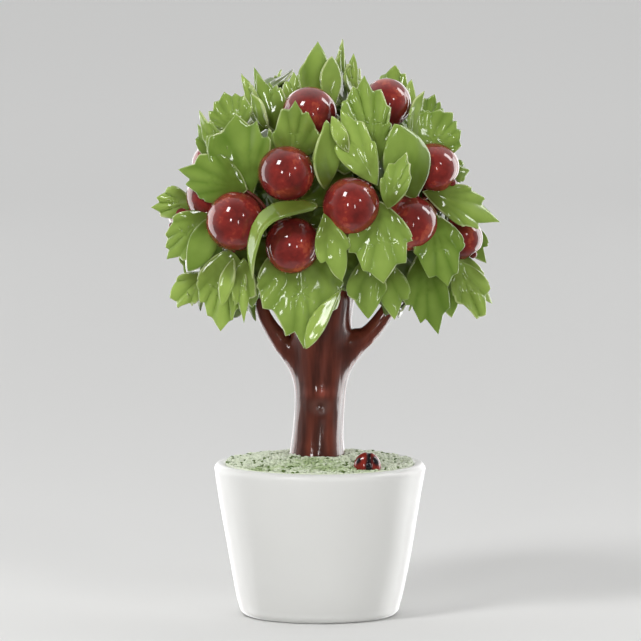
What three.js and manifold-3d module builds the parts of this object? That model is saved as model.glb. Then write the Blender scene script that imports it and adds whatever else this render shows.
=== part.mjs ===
// Glazed ceramic model of a small apple tree in its pot.
// Millimetres, +Z up. The origin is the centre of the pot's flat underside,
// and the tree is seen from its front along +Y, with +X to the right.
//
// The pot holds a filling with crumbs of earth on top, the trunk stands on that
// filling, boughs leave the trunk at its fork, and the crown is a set of
// separate masses of leaves, each a closed uneven solid with pointed lobes.

import * as THREE from 'three';
import { mergeVertices } from 'three/addons/utils/BufferGeometryUtils.js';
import Module from 'manifold-3d';

const wasm = await Module();
wasm.setup();

// ---------------------------------------------------------------- dimensions

const TREE_HEIGHT = 300; // underside of the pot to the topmost leaf tip
const GAP = 0.3; // clearance between solids that touch on the real piece
const MERGE_TOLERANCE = 1e-4;

const POT = {
  height: 79,
  rimRadius: 54.7,
  footRadius: 41.6, // outer radius just above the rounded foot corner
  footCorner: 4.6, // radius of the rounded corner under the wall
  wall: 6.6,
  floor: 7,
  bulge: 0.85, // exponent of the wall's taper: below 1 the side is convex
  sideSteps: 4,
  sides: 32,
};

const GROUND = {
  edgeHeight: 79,
  crestHeight: 82.6, // flat seat under the trunk
  seatRadius: 17,
  crumb: 0.35, // unevenness of the surface between the seat and the edge
  rings: 5,
  sides: 32,
};

const TRUNK = {
  route: [
    [-1.6, 0, 70],
    [-1.1, 0, 90],
    [0, 0, 111],
    [0.4, 0, 130],
    [0.3, 0, 148],
    [1.6, 1, 169],
    [2.6, 2, 190],
    [2.6, 2, 206],
  ],
  radii: [16.5, 13.6, 12.9, 14.4, 14.8, 13.8, 10.6, 8],
  sides: 21,
  rings: 14,
  ridges: 7,
  ridgeDepth: 0.035, // of the radius
};

const KNOT = {
  centre: [0.4, -12.4, 108],
  size: [7.4, 3.4, 4.7], // half width, half depth, half height
  eye: [3, 3, 2.1],
};

// Boughs run from inside the trunk outwards: each route's last point lies a
// little inside the mass that the bough carries.
const BOUGHS = {
  bough_left: {
    route: [[-5, 0, 122], [-13.5, 0, 133], [-21.5, -1, 143.6], [-29.4, -2, 158], [-32, -3, 175]],
    radii: [8, 5.4, 3.7, 2.8, 2.4],
  },
  bough_right: {
    route: [[4, 0, 124], [12.5, 0, 134], [21.5, 1, 142.8], [28.8, 2, 149.5], [36, 2, 159], [43, 1, 170]],
    radii: [8.6, 7.2, 5.4, 3.9, 2.8, 2.4],
  },
  bough_back: {
    route: [[2, 4, 126], [3, 13, 136], [5, 23, 147], [7, 32, 158], [9, 41, 171], [11, 46, 180]],
    radii: [8, 6.2, 4.4, 3.4, 2.8, 2.4],
  },
};
const BOUGH_SIDES = 10;
const BOUGH_RINGS = 10;

const LADYBIRD = {
  centre: [24.5, -33, 80],
  halfSize: [7.2, 5, 8.4],
  seamDepth: 0.16, // of the radius, where the two wing cases meet
  headRadius: 2.2,
  headOffset: [0, -3.9, 3],
};

// The crown's outline: a surface of revolution about a line that stands a little
// right of the pot's axis, domed above its widest level and fuller below it.
const CROWN = {
  x: 2.6,
  radius: 89,
  waist: 205, // height of the widest level
  bottom: 147,
  domePower: 2,
  skirtPower: 6,
};
// Rings of masses from the top down. reach rounds a mass off about its own
// centre, and tilt is the angle of its longest tip above the level.
const TOP = { height: 263, reach: 41 };
const RINGS = [
  { name: 'upper', height: 245, distance: 36, reach: 44, tilt: 30,
    places: { front_left: 232, front_right: 308, back_right: 45, back_left: 135 } },
  { name: 'middle', height: 211, distance: 51, reach: 44, tilt: 0,
    places: { left: 182, front_left: 237, front_right: 297, right: 358, back_right: 62, back_left: 122 } },
  { name: 'lower', height: 179, distance: 56, reach: 40, tilt: -30,
    places: { front: 254, right: 330, back_right: 42, back_left: 122, left: 194 } },
];
// A hollow stays open under the crown, round the fork and towards the back.
const HOLLOW = {
  centre: [3, 8, 138],
  halfSize: [36, 58, 33],
};
const MASS = {
  detail: 3, // each edge of the icosahedron has one more step than this
  lobes: 13,
  lobeWidth: 0.52, // radians from a lobe's tip to its foot
  lobeDepth: 0.24, // of the distance to the crown's outline
};

// ------------------------------------------------------------------ materials

const GLAZE = {
  pot: { color: 0xe9e9e6, roughness: 0.15 },
  ground: { color: 0xc3ccae, roughness: 0.6 },
  trunk: { color: 0x4b2a24, roughness: 0.12 },
  leaf: { color: 0x7b9a40, roughness: 0.15 },
  ladybird: { color: 0x8c2c22, roughness: 0.12 },
};

function glaze(kind) {
  return new THREE.MeshStandardMaterial({ ...GLAZE[kind], metalness: 0 });
}

// -------------------------------------------------------------------- helpers

// Closed geometry to solid: shared corners are merged and the triangles that
// fold to nothing at a pole are left out.
function toSolid(geometry) {
  const bare = geometry.clone();
  bare.deleteAttribute('normal');
  bare.deleteAttribute('uv');
  const merged = mergeVertices(bare, MERGE_TOLERANCE);
  const corners = merged.index.array;
  const kept = [];
  for (let i = 0; i < corners.length; i += 3) {
    const [a, b, c] = corners.slice(i, i + 3);
    if (a !== b && b !== c && c !== a) {
      kept.push(a, b, c);
    }
  }
  return new wasm.Manifold(new wasm.Mesh({
    numProp: 3,
    vertProperties: Float32Array.from(merged.attributes.position.array),
    triVerts: Uint32Array.from(kept),
  }));
}

function toNode(name, solid, kind) {
  const mesh = solid.getMesh();
  const geometry = new THREE.BufferGeometry();
  geometry.setAttribute('position', new THREE.BufferAttribute(mesh.vertProperties, 3));
  geometry.setIndex(new THREE.BufferAttribute(mesh.triVerts, 1));
  geometry.computeVertexNormals();
  const node = new THREE.Mesh(geometry, glaze(kind));
  node.name = name;
  return node;
}

// Moves every vertex of a geometry by a function of its place.
function reshape(geometry, move) {
  const position = geometry.attributes.position;
  const point = new THREE.Vector3();
  for (let i = 0; i < position.count; i += 1) {
    point.fromBufferAttribute(position, i);
    move(point);
    position.setXYZ(i, point.x, point.y, point.z);
  }
  return geometry;
}

// A lathe turns round +Y in three.js; this stands it upright on +Z.
function turned(profile, sides) {
  const points = profile.map(([radius, height]) => new THREE.Vector2(radius, height));
  return new THREE.LatheGeometry(points, sides).rotateX(Math.PI / 2);
}

function ellipsoid(centre, halfSize, across = 16, up = 10) {
  return new THREE.SphereGeometry(1, across, up)
    .scale(...halfSize)
    .translate(...centre);
}

// A quarter of a round corner as [radius, height] points.
function corner(centreRadius, centreHeight, size, from, to, steps) {
  const points = [];
  for (let i = 0; i <= steps; i += 1) {
    const turn = THREE.MathUtils.degToRad(from + ((to - from) * i) / steps);
    points.push([centreRadius + size * Math.cos(turn), centreHeight + size * Math.sin(turn)]);
  }
  return points;
}

// Value of a row of numbers at a share from 0 to 1 of its length.
function along(values, share) {
  const place = share * (values.length - 1);
  const low = Math.min(Math.floor(place), values.length - 2);
  return THREE.MathUtils.lerp(values[low], values[low + 1], place - low);
}

// A limb is a closed cylinder carried along a smooth route with its own radius
// at each step. grow widens it and lengthens both ends, for cutting its socket
// in a neighbour.
function limb({ route, radii, ridges = 0, ridgeDepth = 0 }, sides, rings, grow = 0) {
  const curve = new THREE.CatmullRomCurve3(route.map((p) => new THREE.Vector3(...p)));
  const frames = curve.computeFrenetFrames(rings);
  const stations = frames.tangents.map((tangent, i) => ({
    centre: curve.getPointAt(i / rings).addScaledVector(tangent, grow * ((i === rings) - (i === 0))),
    share: curve.getUtoTmapping(i / rings),
    normal: frames.normals[i],
    across: frames.binormals[i],
  }));
  const tube = new THREE.CylinderGeometry(1, 1, 1, sides, rings);
  return reshape(tube, (point) => {
    const { centre, share, normal, across } = stations[Math.round((point.y + 0.5) * rings)];
    const ridge = 1 + ridgeDepth * Math.cos(ridges * Math.atan2(point.z, point.x));
    const radius = along(radii, share) * ridge + grow;
    const [x, z] = [point.x * radius, point.z * radius];
    point.copy(centre).addScaledVector(normal, x).addScaledVector(across, -z);
  });
}

// ------------------------------------------------------------- pot and ground

function potRadius(height) {
  const share = (height - POT.footCorner) / (POT.height - POT.wall / 2 - POT.footCorner);
  const rise = Math.max(share, 0) ** POT.bulge;
  return THREE.MathUtils.lerp(POT.footRadius, POT.rimRadius, rise);
}

function potSide(inset, low, high, steps) {
  const points = [];
  for (let i = 0; i <= steps; i += 1) {
    const height = THREE.MathUtils.lerp(low, high, i / steps);
    points.push([potRadius(height) - inset, height]);
  }
  return points;
}

function makePot() {
  const rimCentre = POT.height - POT.wall / 2;
  const outer = potSide(0, POT.footCorner, rimCentre, POT.sideSteps);
  const inner = potSide(POT.wall, POT.floor, rimCentre, POT.sideSteps).reverse();
  const foot = corner(POT.footRadius - POT.footCorner, POT.footCorner, POT.footCorner, -90, -30, 2);
  const rim = corner(POT.rimRadius - POT.wall / 2, rimCentre, POT.wall / 2, 30, 150, 4);
  return toSolid(turned([[0, 0], ...foot, ...outer, ...rim, ...inner, [0, POT.floor]], POT.sides));
}

function groundHeight(radius) {
  const edge = potRadius(GROUND.edgeHeight) - POT.wall - GAP;
  const share = THREE.MathUtils.smoothstep(radius, GROUND.seatRadius, edge);
  return THREE.MathUtils.lerp(GROUND.crestHeight, GROUND.edgeHeight, share);
}

function makeGround() {
  const floor = POT.floor + GAP;
  const shoulder = POT.height - POT.wall;
  const sides = potSide(POT.wall + GAP, floor, shoulder, 2);
  const edge = potRadius(shoulder) - POT.wall - GAP;
  const top = [];
  for (let i = 0; i <= GROUND.rings; i += 1) {
    const radius = THREE.MathUtils.lerp(edge, GROUND.seatRadius, i / GROUND.rings);
    top.push([radius, groundHeight(radius)]);
  }
  const profile = [[0, floor], ...sides, ...top, [0, GROUND.crestHeight]];
  const plug = reshape(turned(profile, GROUND.sides), (point) => {
    const radius = Math.hypot(point.x, point.y);
    if (point.z > shoulder + 1 && radius > GROUND.seatRadius + 1) {
      point.z += GROUND.crumb * Math.sin(point.x * 0.9) * Math.cos(point.y * 1.1);
    }
  });
  return toSolid(plug);
}

// ------------------------------------------------------------ trunk and boughs

// Everything below the level cut at the trunk's foot.
function belowGround(level) {
  const depth = level;
  const width = POT.rimRadius * 2;
  return toSolid(new THREE.BoxGeometry(width, width, depth).translate(0, 0, level - depth / 2));
}

function makeTrunk() {
  const stem = toSolid(limb(TRUNK, TRUNK.sides, TRUNK.rings));
  const knot = toSolid(ellipsoid(KNOT.centre, KNOT.size, 12, 8));
  const [x, y, z] = KNOT.centre;
  const eye = toSolid(ellipsoid([x, y - KNOT.size[1], z], KNOT.eye, 10, 6));
  return stem.add(knot).subtract(eye).subtract(belowGround(GROUND.crestHeight + GAP));
}

// ------------------------------------------------------------ the leaf masses

function crownRadius(height) {
  const above = height > CROWN.waist;
  const limit = above ? TREE_HEIGHT - CROWN.waist : CROWN.waist - CROWN.bottom;
  const power = above ? CROWN.domePower : CROWN.skirtPower;
  const share = Math.min(Math.abs(height - CROWN.waist) / limit, 1);
  return CROWN.radius * (1 - share ** power) ** (1 / power);
}

// Distance from a point inside the crown to its outline, by halving.
function outlineDistance(from, way) {
  let inside = 0;
  let outside = 2 * CROWN.radius;
  const point = new THREE.Vector3();
  for (let i = 0; i < 24; i += 1) {
    const middle = (inside + outside) / 2;
    point.copy(from).addScaledVector(way, middle);
    if (Math.hypot(point.x - CROWN.x, point.y) < crownRadius(point.z)) {
      inside = middle;
    } else {
      outside = middle;
    }
  }
  return inside;
}

// A level direction at an azimuth, raised by a tilt, both in degrees.
function direction(azimuth, tilt) {
  const turn = THREE.MathUtils.degToRad(azimuth);
  const rise = THREE.MathUtils.degToRad(tilt);
  return new THREE.Vector3(Math.cos(turn) * Math.cos(rise), Math.sin(turn) * Math.cos(rise), Math.sin(rise));
}

function crownMasses() {
  const masses = [{
    name: 'mass_top',
    centre: new THREE.Vector3(CROWN.x, 0, TOP.height),
    outward: new THREE.Vector3(0, 0, 1),
    reach: TOP.reach,
  }];
  for (const ring of RINGS) {
    for (const [place, azimuth] of Object.entries(ring.places)) {
      const centre = new THREE.Vector3(CROWN.x, 0, ring.height);
      centre.addScaledVector(direction(azimuth, 0), ring.distance);
      const outward = direction(azimuth, ring.tilt);
      masses.push({ name: `mass_${ring.name}_${place}`, centre, outward, reach: ring.reach });
    }
  }
  return masses;
}

// Directions spread evenly over a sphere along a golden spiral.
function spiral(count) {
  const golden = Math.PI * (3 - Math.sqrt(5));
  return Array.from({ length: count }, (_, i) => {
    const z = 1 - (2 * i + 1) / count;
    const r = Math.sqrt(1 - z * z);
    return new THREE.Vector3(r * Math.cos(i * golden), r * Math.sin(i * golden), z);
  });
}

// A mass is a ball about its own centre that fills the crown's outline, raised
// into pointed lobes that stand for its leaves, the longest straight outwards,
// and smooth towards the inside of the crown.
// Towards each neighbour it ends at the plane between the two, so that no two
// masses overlap.
function makeMass(mass, others) {
  const turn = new THREE.Quaternion().setFromUnitVectors(new THREE.Vector3(0, 0, 1), mass.outward);
  const lobes = [mass.outward, ...spiral(MASS.lobes).map((d) => d.applyQuaternion(turn))];
  const walls = others.map((other) => {
    const way = other.centre.clone().sub(mass.centre);
    const apart = way.length();
    const shift = (mass.reach ** 2 - other.reach ** 2) / (2 * apart);
    return { way: way.normalize(), distance: apart / 2 + shift - GAP / 2 };
  });
  const ball = new THREE.IcosahedronGeometry(1, MASS.detail);
  const first = new THREE.Vector3().fromBufferAttribute(new THREE.IcosahedronGeometry(1).attributes.position, 0);
  ball.applyQuaternion(new THREE.Quaternion().setFromUnitVectors(first.normalize(), mass.outward));
  reshape(ball, (point) => {
    const way = point.clone().normalize();
    const nearest = Math.min(...lobes.map((lobe) => way.angleTo(lobe)));
    const rise = Math.max(0, 1 - nearest / MASS.lobeWidth);
    const full = Math.min(outlineDistance(mass.centre, way), mass.reach);
    const depth = MASS.lobeDepth * THREE.MathUtils.smoothstep(way.dot(mass.outward), -0.5, 0.2);
    let radius = full * (1 - depth * (1 - rise));
    for (const wall of walls) {
      const facing = way.dot(wall.way);
      if (facing > 0) {
        radius = Math.min(radius, wall.distance / facing);
      }
    }
    point.copy(way).multiplyScalar(radius).add(mass.centre);
  });
  return toSolid(ball);
}

// -------------------------------------------------------------- the ladybird

// Two domed wing cases that meet in a seam, with the head low at the front. Its
// underside is cut by the ground that it sits on.
function makeLadybird(ground) {
  const body = new THREE.SphereGeometry(1, 14, 9);
  reshape(body, (point) => {
    const seam = 1 - LADYBIRD.seamDepth * Math.exp(-((point.x / 0.22) ** 2));
    point.multiplyScalar(seam);
  });
  body.scale(...LADYBIRD.halfSize).translate(...LADYBIRD.centre);
  const head = new THREE.SphereGeometry(LADYBIRD.headRadius, 8, 6)
    .translate(...LADYBIRD.centre)
    .translate(...LADYBIRD.headOffset);
  return toSolid(body).add(toSolid(head)).subtract(ground.translate([0, 0, GAP]));
}

// ------------------------------------------------------------------- assembly

const tree = new THREE.Group();

const ground = makeGround();
tree.add(toNode('pot', makePot(), 'pot'));
tree.add(toNode('ground', ground, 'ground'));
tree.add(toNode('ladybird', makeLadybird(ground), 'ladybird'));
tree.add(toNode('trunk', makeTrunk(), 'trunk'));

const trunkSocket = toSolid(limb(TRUNK, TRUNK.sides, TRUNK.rings, GAP));
let limbSockets = trunkSocket;
for (const [name, shape] of Object.entries(BOUGHS)) {
  const bough = toSolid(limb(shape, BOUGH_SIDES, BOUGH_RINGS));
  tree.add(toNode(name, bough.subtract(limbSockets), 'trunk'));
  limbSockets = limbSockets.add(toSolid(limb(shape, BOUGH_SIDES, BOUGH_RINGS, GAP)));
}

const hollow = toSolid(ellipsoid(HOLLOW.centre, HOLLOW.halfSize));
const masses = crownMasses();
for (const mass of masses) {
  const others = masses.filter((other) => other !== mass);
  const solid = makeMass(mass, others).subtract(limbSockets).subtract(hollow);
  tree.add(toNode(mass.name, solid, 'leaf'));
}

export default tree;
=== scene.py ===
"""Glazed clay model of an apple tree in a white pot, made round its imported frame.

Lengths in the plans below are millimetres. The tree is seen from its front along
+Y, with +X to the right and +Z up, and its origin is the centre of the pot's
underside. A piece is made of closed skins, each worked out on a grid of two
parameters. Only the trunk and its boughs differ: they are tubes fused by a remesh,
whose points are then moved onto one smooth skin.
"""

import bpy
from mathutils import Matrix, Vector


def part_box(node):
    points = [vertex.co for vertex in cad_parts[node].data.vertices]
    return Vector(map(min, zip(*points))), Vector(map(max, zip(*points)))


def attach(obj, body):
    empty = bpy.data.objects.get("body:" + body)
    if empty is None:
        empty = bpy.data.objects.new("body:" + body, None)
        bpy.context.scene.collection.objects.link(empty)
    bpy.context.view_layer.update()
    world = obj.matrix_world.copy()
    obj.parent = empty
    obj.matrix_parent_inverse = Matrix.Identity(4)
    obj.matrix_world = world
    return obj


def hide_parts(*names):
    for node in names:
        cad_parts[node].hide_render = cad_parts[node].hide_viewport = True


bl_info = {
    "name": "Glazed clay fruit tree",
    "version": (1, 0, 0),
    "blender": (4, 5, 0),
    "location": "View3D > Sidebar > Clay tree",
    "description": "Makes a potted apple tree of glazed clay, with its ground and ladybird",
    "category": "Add Mesh",
}

import math
from collections import namedtuple

import bpy
import numpy as np

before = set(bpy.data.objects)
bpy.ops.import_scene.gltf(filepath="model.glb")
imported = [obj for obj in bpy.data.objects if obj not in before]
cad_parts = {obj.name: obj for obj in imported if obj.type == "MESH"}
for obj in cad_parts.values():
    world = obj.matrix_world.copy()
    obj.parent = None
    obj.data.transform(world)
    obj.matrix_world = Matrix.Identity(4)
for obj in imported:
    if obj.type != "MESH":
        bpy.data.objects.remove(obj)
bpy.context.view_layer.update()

MM = 0.001
BODY = "root"


def node_box(node):
    """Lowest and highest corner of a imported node, in millimetres."""
    low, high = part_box(node)
    return np.array(low) / MM, np.array(high) / MM


# ------------------------------------------------------------------- the plan

# The pot: its height and rim come from the frame. The lower its bulge number, the
# rounder its sides, and the ground keeps a gap to its wall and floor.
POT_HEIGHT = node_box("pot")[1][2]
RIM_RADIUS = node_box("pot")[1][0]
FOOT_RADIUS = 41.6
FOOT_CORNER = 4.6
WALL = 6.6
FLOOR = 7.0
BULGE = 0.85
CAST_UNEVENNESS = 0.22
GAP = 0.3

# The ground: a low mound, level from the trunk to its seat's radius and lower from
# there to the edge, in which the trunk ends in a flat cut. Its relief is given by
# height and wavelength, and its patches of moss by their middle and half widths.
GROUND_EDGE = 79.0
GROUND_CREST = 82.6
GROUND_SEAT = 17.0
TRUNK_SINK = 6.0
GROUND_SEED = 31
CRUMBLY_RELIEF = ((0.34, 2.3), (0.24, 1.3))
SWELL_RELIEF = (0.35, 17)
MOSS = ((-3, -24, 15, 9), (10, -38, 20, 6), (-30, -34, 15, 6))
DARK_CRUMBS = 0.055

# The trunk and its boughs: x, y, z and radius at each point of the route.
LIMBS = {
    "trunk": (
        (-1.6, 0, 70, 16.5), (-1.1, 0, 90, 13.6), (0, 0, 111, 12.9), (0.4, 0, 130, 13.0),
        (0.3, 0, 148, 14.8), (2.8, 1, 169, 15.2), (2.6, 2, 190, 10.6), (2.6, 2, 206, 8),
    ),
    "bough_left": (
        (-4, 0, 124, 5.7), (-13.5, 0, 134, 5.2), (-21.5, -1, 143.6, 4.5),
        (-29.4, -2, 158, 3.8), (-32, -3, 175, 3.2),
    ),
    "bough_right": (
        (4, 0, 126, 6.2), (12.5, 0, 135, 6.9), (19, 0.5, 140.9, 6.2), (24.5, 1, 144.5, 5.0),
        (30, 2, 150.5, 4.5), (36, 2, 159, 4.0), (43, 1, 170, 3.0),
    ),
    "bough_back": (
        (2, 4, 126, 8), (3, 13, 136, 6.2), (5, 23, 147, 4.4),
        (7, 32, 158, 3.4), (9, 41, 171, 2.8), (11, 46, 180, 2.4),
    ),
}

# The voxels of the remesh that fuses the limbs, how softly one runs into the next,
# and the points up the trunk from which inner boughs may start.
LIMB_VOXEL = 0.85
CROTCH_SOFTNESS = 3.0
LEADER_STARTS = ((2.6, 2, 203), (1.8, 1, 172), (2.4, 1.6, 188))

# The healed knot on the trunk's front: its middle and half sizes, across and up,
# and the radius of its eye.
KNOT_CENTRE = (0.4, 109.5)
KNOT_SIZE = (7.4, 4.7)
KNOT_EYE = 1.9

# The crown: a dome above its widest level and a fuller bowl below it, round a
# line that stands a little right of the pot's axis.
CROWN_CENTRE = np.array((2.6, 0.0, 205.0))
CROWN_RADIUS = 89.0
CROWN_RISE = 95.0
CROWN_DROP = 58.0
SKIRT_POWER = 6
HOLLOW_CENTRE = np.array((3.0, -2.0, 138.0))
HOLLOW_SIZE = np.array((38.0, 85.0, 38.0))
LOWEST_TIP = 155.0

# Middle of each mass of leaves: height, distance from the crown's line and azimuth.
MASSES = {
    "mass_top": (263, 0, 0),
    "mass_upper_front_left": (245, 36, 232),
    "mass_upper_front_right": (245, 36, 308),
    "mass_upper_back_right": (245, 36, 45),
    "mass_upper_back_left": (245, 36, 135),
    "mass_middle_left": (211, 51, 182),
    "mass_middle_front_left": (211, 51, 237),
    "mass_middle_front_right": (211, 51, 297),
    "mass_middle_right": (211, 51, 358),
    "mass_middle_back_right": (211, 51, 62),
    "mass_middle_back_left": (211, 51, 122),
    "mass_lower_front": (179, 56, 254),
    "mass_lower_right": (179, 56, 330),
    "mass_lower_back_right": (179, 56, 42),
    "mass_lower_back_left": (179, 56, 122),
    "mass_lower_left": (179, 56, 194),
}

# Where the tree is looked at from: a camera far in front and a little above.
VIEW_TARGET = np.array((0.5, 0.0, 152.5))
VIEW_DISTANCE = 5000.0
VIEW_HEIGHT_ANGLE = 6.4
VIEW_WIDTH = 330.4
SENSOR = 36.0

# A leaf is planned by where it starts and ends: across and up as the front view
# shows it, and depth, which is its place along Y. Wide is the share of its length
# at which it is widest. The face is the heading of its upper side in degrees to
# the right and upwards of the front, bend is how far the tip turns back from it,
# and edges are how far the left and the right edge turn up, as one looks at the
# face with the tip upwards. Flute is the depth of its pressed grooves and tint
# runs from 0, dark, to 1, pale. A new front leaf goes at the end, because leaves take
# their seeded shapes in this order.
# Many tints follow how dark or pale a leaf looks where it lies, so low tints are partly painted shade, as
# under the fruit, and the highest partly painted highlight.
LeafPlan = namedtuple("LeafPlan", "base tip width teeth wide face bend edges flute tint")

FRONT_LEAVES = (
    # the top
    LeafPlan((-2, 258, -36), (-0.7, 296, -14), 20, 3, 0.55, (12, 25), -8, (8, 8), 1.4, 0.45),
    LeafPlan((6, 256, -38), (6.5, 288, -24), 12, 1, 0.6, (25, 25), -5, (25, 15), 0.8, 0.55),
    LeafPlan((13, 262, -8), (11, 296.5, 0), 12, 5, 0.5, (55, 15), 0, (10, 10), 1.2, 0.9),
    LeafPlan((20, 262, -14), (17, 289, -4), 12, 5, 0.5, (30, 20), 0, (10, 10), 1.2, 0.95),
    LeafPlan((-12, 262, -26), (-13.5, 280, -18), 11, 3, 0.5, (-20, 30), 0, (10, 10), 1.0, 0.95),
    LeafPlan((-22, 249, -40), (-32.5, 279, -26), 17, 3, 0.5, (-10, 20), -10, (20, 5), 1.2, 0.4),
    LeafPlan((-24, 252, -32), (-34, 282.5, -18), 12, 3, 0.5, (10, 10), 20, (0, 20), 0.8, 0.1),
    LeafPlan((-32, 251, -36), (-40, 279, -22), 10, 3, 0.5, (-35, 10), 0, (20, 20), 1.4, 0.95),
    LeafPlan((-27, 250, -46), (-34.5, 269, -40), 8, 1, 0.5, (-40, 10), 0, (20, 40), 0.4, 0.6),
    LeafPlan((38, 254, -24), (39, 283.5, -10), 20, 5, 0.55, (15, 25), 0, (8, 8), 1.2, 0.5),
    LeafPlan((48, 252, -30), (47.5, 276, -20), 11, 3, 0.5, (40, 20), 0, (15, 15), 0.8, 0.85),
    # the upper right
    LeafPlan((51, 232, -46), (69, 259, -34), 29, 9, 0.56, (20, 12), 5, (5, 8), 0.5, 0.35),
    LeafPlan((46, 243, -46), (53.5, 270, -38), 12, 3, 0.5, (50, 10), 0, (25, 20), 0.5, 0.6),
    LeafPlan((54, 246, -34), (59, 268, -26), 17, 7, 0.55, (20, 20), 0, (5, 5), 0.6, 0.15),
    LeafPlan((66, 229, -30), (77.5, 229, -24), 12, 3, 0.5, (15, 20), 0, (5, 5), 0.5, 0.5),
    # the middle
    LeafPlan((-14, 230, -58), (-12.5, 265.5, -68), 26, 5, 0.52, (0, 10), -12, (15, 25), 1.5, 0.5),
    LeafPlan((2.4, 219, -70), (3.4, 255, -68), 18, 1, 0.5, (40, 10), 0, (35, 30), 0.6, 0.5),
    LeafPlan((-3, 226, -64), (0.5, 244, -66), 7, 1, 0.5, (-10, 10), 0, (20, 20), 0.3, 0.3),
    LeafPlan((30, 221, -74), (11, 260, -62), 21, 5, 0.55, (-20, 28), 26, (8, 12), 0.7, 0.85),
    LeafPlan((29, 228, -66), (23, 278, -54), 28, 7, 0.55, (4, 18), 0, (15, 25), 2.4, 0.45),
    LeafPlan((35, 209, -76), (45, 238.5, -75), 16, 5, 0.5, (-10, 10), 5, (25, 20), 1.0, 0.6),
    LeafPlan((49, 214, -60), (38.5, 253, -66), 27, 1, 0.5, (15, 12), 20, (10, -30), 0.8, 0.3),
    # the upper left
    LeafPlan((-34, 216, -60), (-43, 258.5, -57), 37, 5, 0.63, (-24, 0), 8, (35, 5), 0.6, 0.1),
    LeafPlan((-42, 246, -46), (-49, 269.5, -40), 25, 7, 0.58, (-15, 12), 5, (5, 5), 0.7, 0.5),
    LeafPlan((-48, 236, -50), (-62, 260, -40), 10, 3, 0.5, (-40, 10), 0, (30, 10), 0.5, 0.6),
    LeafPlan((-46, 234, -56), (-58, 247, -52), 12, 1, 0.5, (-25, 10), 0, (40, 40), 0.3, 0.55),
    LeafPlan((-53, 233, -42), (-63, 253, -32), 12, 3, 0.5, (-30, 15), 0, (10, 10), 0.5, 0.25),
    # the left side
    LeafPlan((-37, 219, -62), (-73, 229.5, -48), 26, 5, 0.5, (4, -2), 12, (5, 10), 0.8, 0.14),
    LeafPlan((-65, 212, -32), (-86.5, 209.5, -22), 18, 5, 0.5, (-20, 15), 0, (10, 10), 2.2, 0.9),
    LeafPlan((-56, 207, -52), (-79, 183, -48), 25, 7, 0.5, (-18, 9), 10, (5, 5), 1.0, 0.5),
    LeafPlan((-52, 207, -62), (-67.5, 177, -56), 15, 1, 0.5, (-16, 0), 0, (-60, 30), 0.4, 0.0),
    LeafPlan((-50, 190, -58), (-62, 176, -50), 14, 3, 0.5, (-20, 0), 0, (10, 10), 0.4, 0.1),
    LeafPlan((-59, 176, -48), (-77, 158, -44), 17, 4, 0.5, (-15, 8), 0, (5, 5), 1.8, 1.0),
    LeafPlan((-47, 188, -60), (-51, 146, -59), 27, 7, 0.45, (-10, 9), 8, (15, 15), 1.8, 0.9),
    LeafPlan((-44, 184, -68), (-50.5, 159, -66), 8.5, 1, 0.5, (-30, 0), 0, (20, 40), 0.4, 1.0),
    LeafPlan((-39, 184, -64), (-39, 150, -63), 14, 3, 0.5, (5, -5), 0, (30, 30), 1.4, 1.0),
    LeafPlan((-34, 176, -58), (-34.5, 158, -50), 8, 1, 0.5, (20, -5), 0, (20, 20), 0.4, 0.3),
    # over the fork
    LeafPlan((-1.0, 210.7, -80), (-34.2, 172.9, -74), 13.5, 1, 0.25, (-62, 42), 94, (5, 5), 0.3, 0.6),
    LeafPlan((-10, 194, -65), (-8, 137, -70), 47, 7, 0.42, (-3, 10), 12, (-66, 30), 1.5, 0.5),
    LeafPlan((2, 207, -80), (12, 171.5, -80), 19, 3, 0.55, (8, 8), 8, (-30, 20), 0.8, 0.8),
    LeafPlan((31, 213, -72), (33, 170.5, -76), 34, 5, 0.52, (3, 8), 14, (15, 10), 1.4, 0.5),
    LeafPlan((27, 188, -62), (25, 152.5, -62), 21, 3, 0.55, (3, 6), 8, (10, 25), 1.0, 0.35),
    LeafPlan((33, 184, -60), (38.5, 152, -60), 19, 3, 0.55, (8, 4), 8, (10, 30), 1.0, 0.4),
    # the right side
    LeafPlan((54, 190, -52), (60.5, 145, -42), 26, 5, 0.52, (15, -5), 5, (5, 5), 0.6, 0.0),
    LeafPlan((56, 208, -60), (66, 169, -58), 28, 5, 0.52, (14, 8), 15, (10, 5), 0.7, 0.1),
    LeafPlan((63, 184, -44), (68, 153, -36), 14, 1, 0.5, (25, -5), 0, (5, 5), 0.4, 0.1),
    LeafPlan((70, 183, -42), (84, 151, -44), 20, 4, 0.52, (14, 0), 0, (5, 5), 2.2, 0.8),
    LeafPlan((71, 187, -34), (89.5, 160, -22), 14, 3, 0.5, (30, 10), 0, (10, 10), 1.4, 0.9),
    LeafPlan((53, 218, -50), (92.5, 202, -36), 22, 5, 0.55, (15, 20), 20, (10, 15), 0.8, 0.6),
    LeafPlan((74, 202, -22), (86, 181, -18), 16, 3, 0.5, (20, 0), 0, (5, 5), 0.6, 0.1),
    # in a gap at the upper left, and a pale fold along the edge of the leaf over the fork, whose pale tint is
    # partly a painted highlight
    LeafPlan((-22, 232, -56), (-26, 251, -54), 12, 3, 0.5, (-12, 0), 0, (10, 10), 0.6, 0.25),
    LeafPlan((12.2, 169, -74), (-7.2, 136.8, -77), 9.5, 1, 0.6, (-6, 8), 0, (14, 14), 0.3, 1.0),
    # a pale flap on a leaf at the upper right, whose pale tint is partly a painted highlight
    LeafPlan((15, 238, -72), (6.5, 257, -68.5), 8, 1, 0.5, (-7.5, 8), 0, (8, 8), 0.2, 1.0),
)

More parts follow.
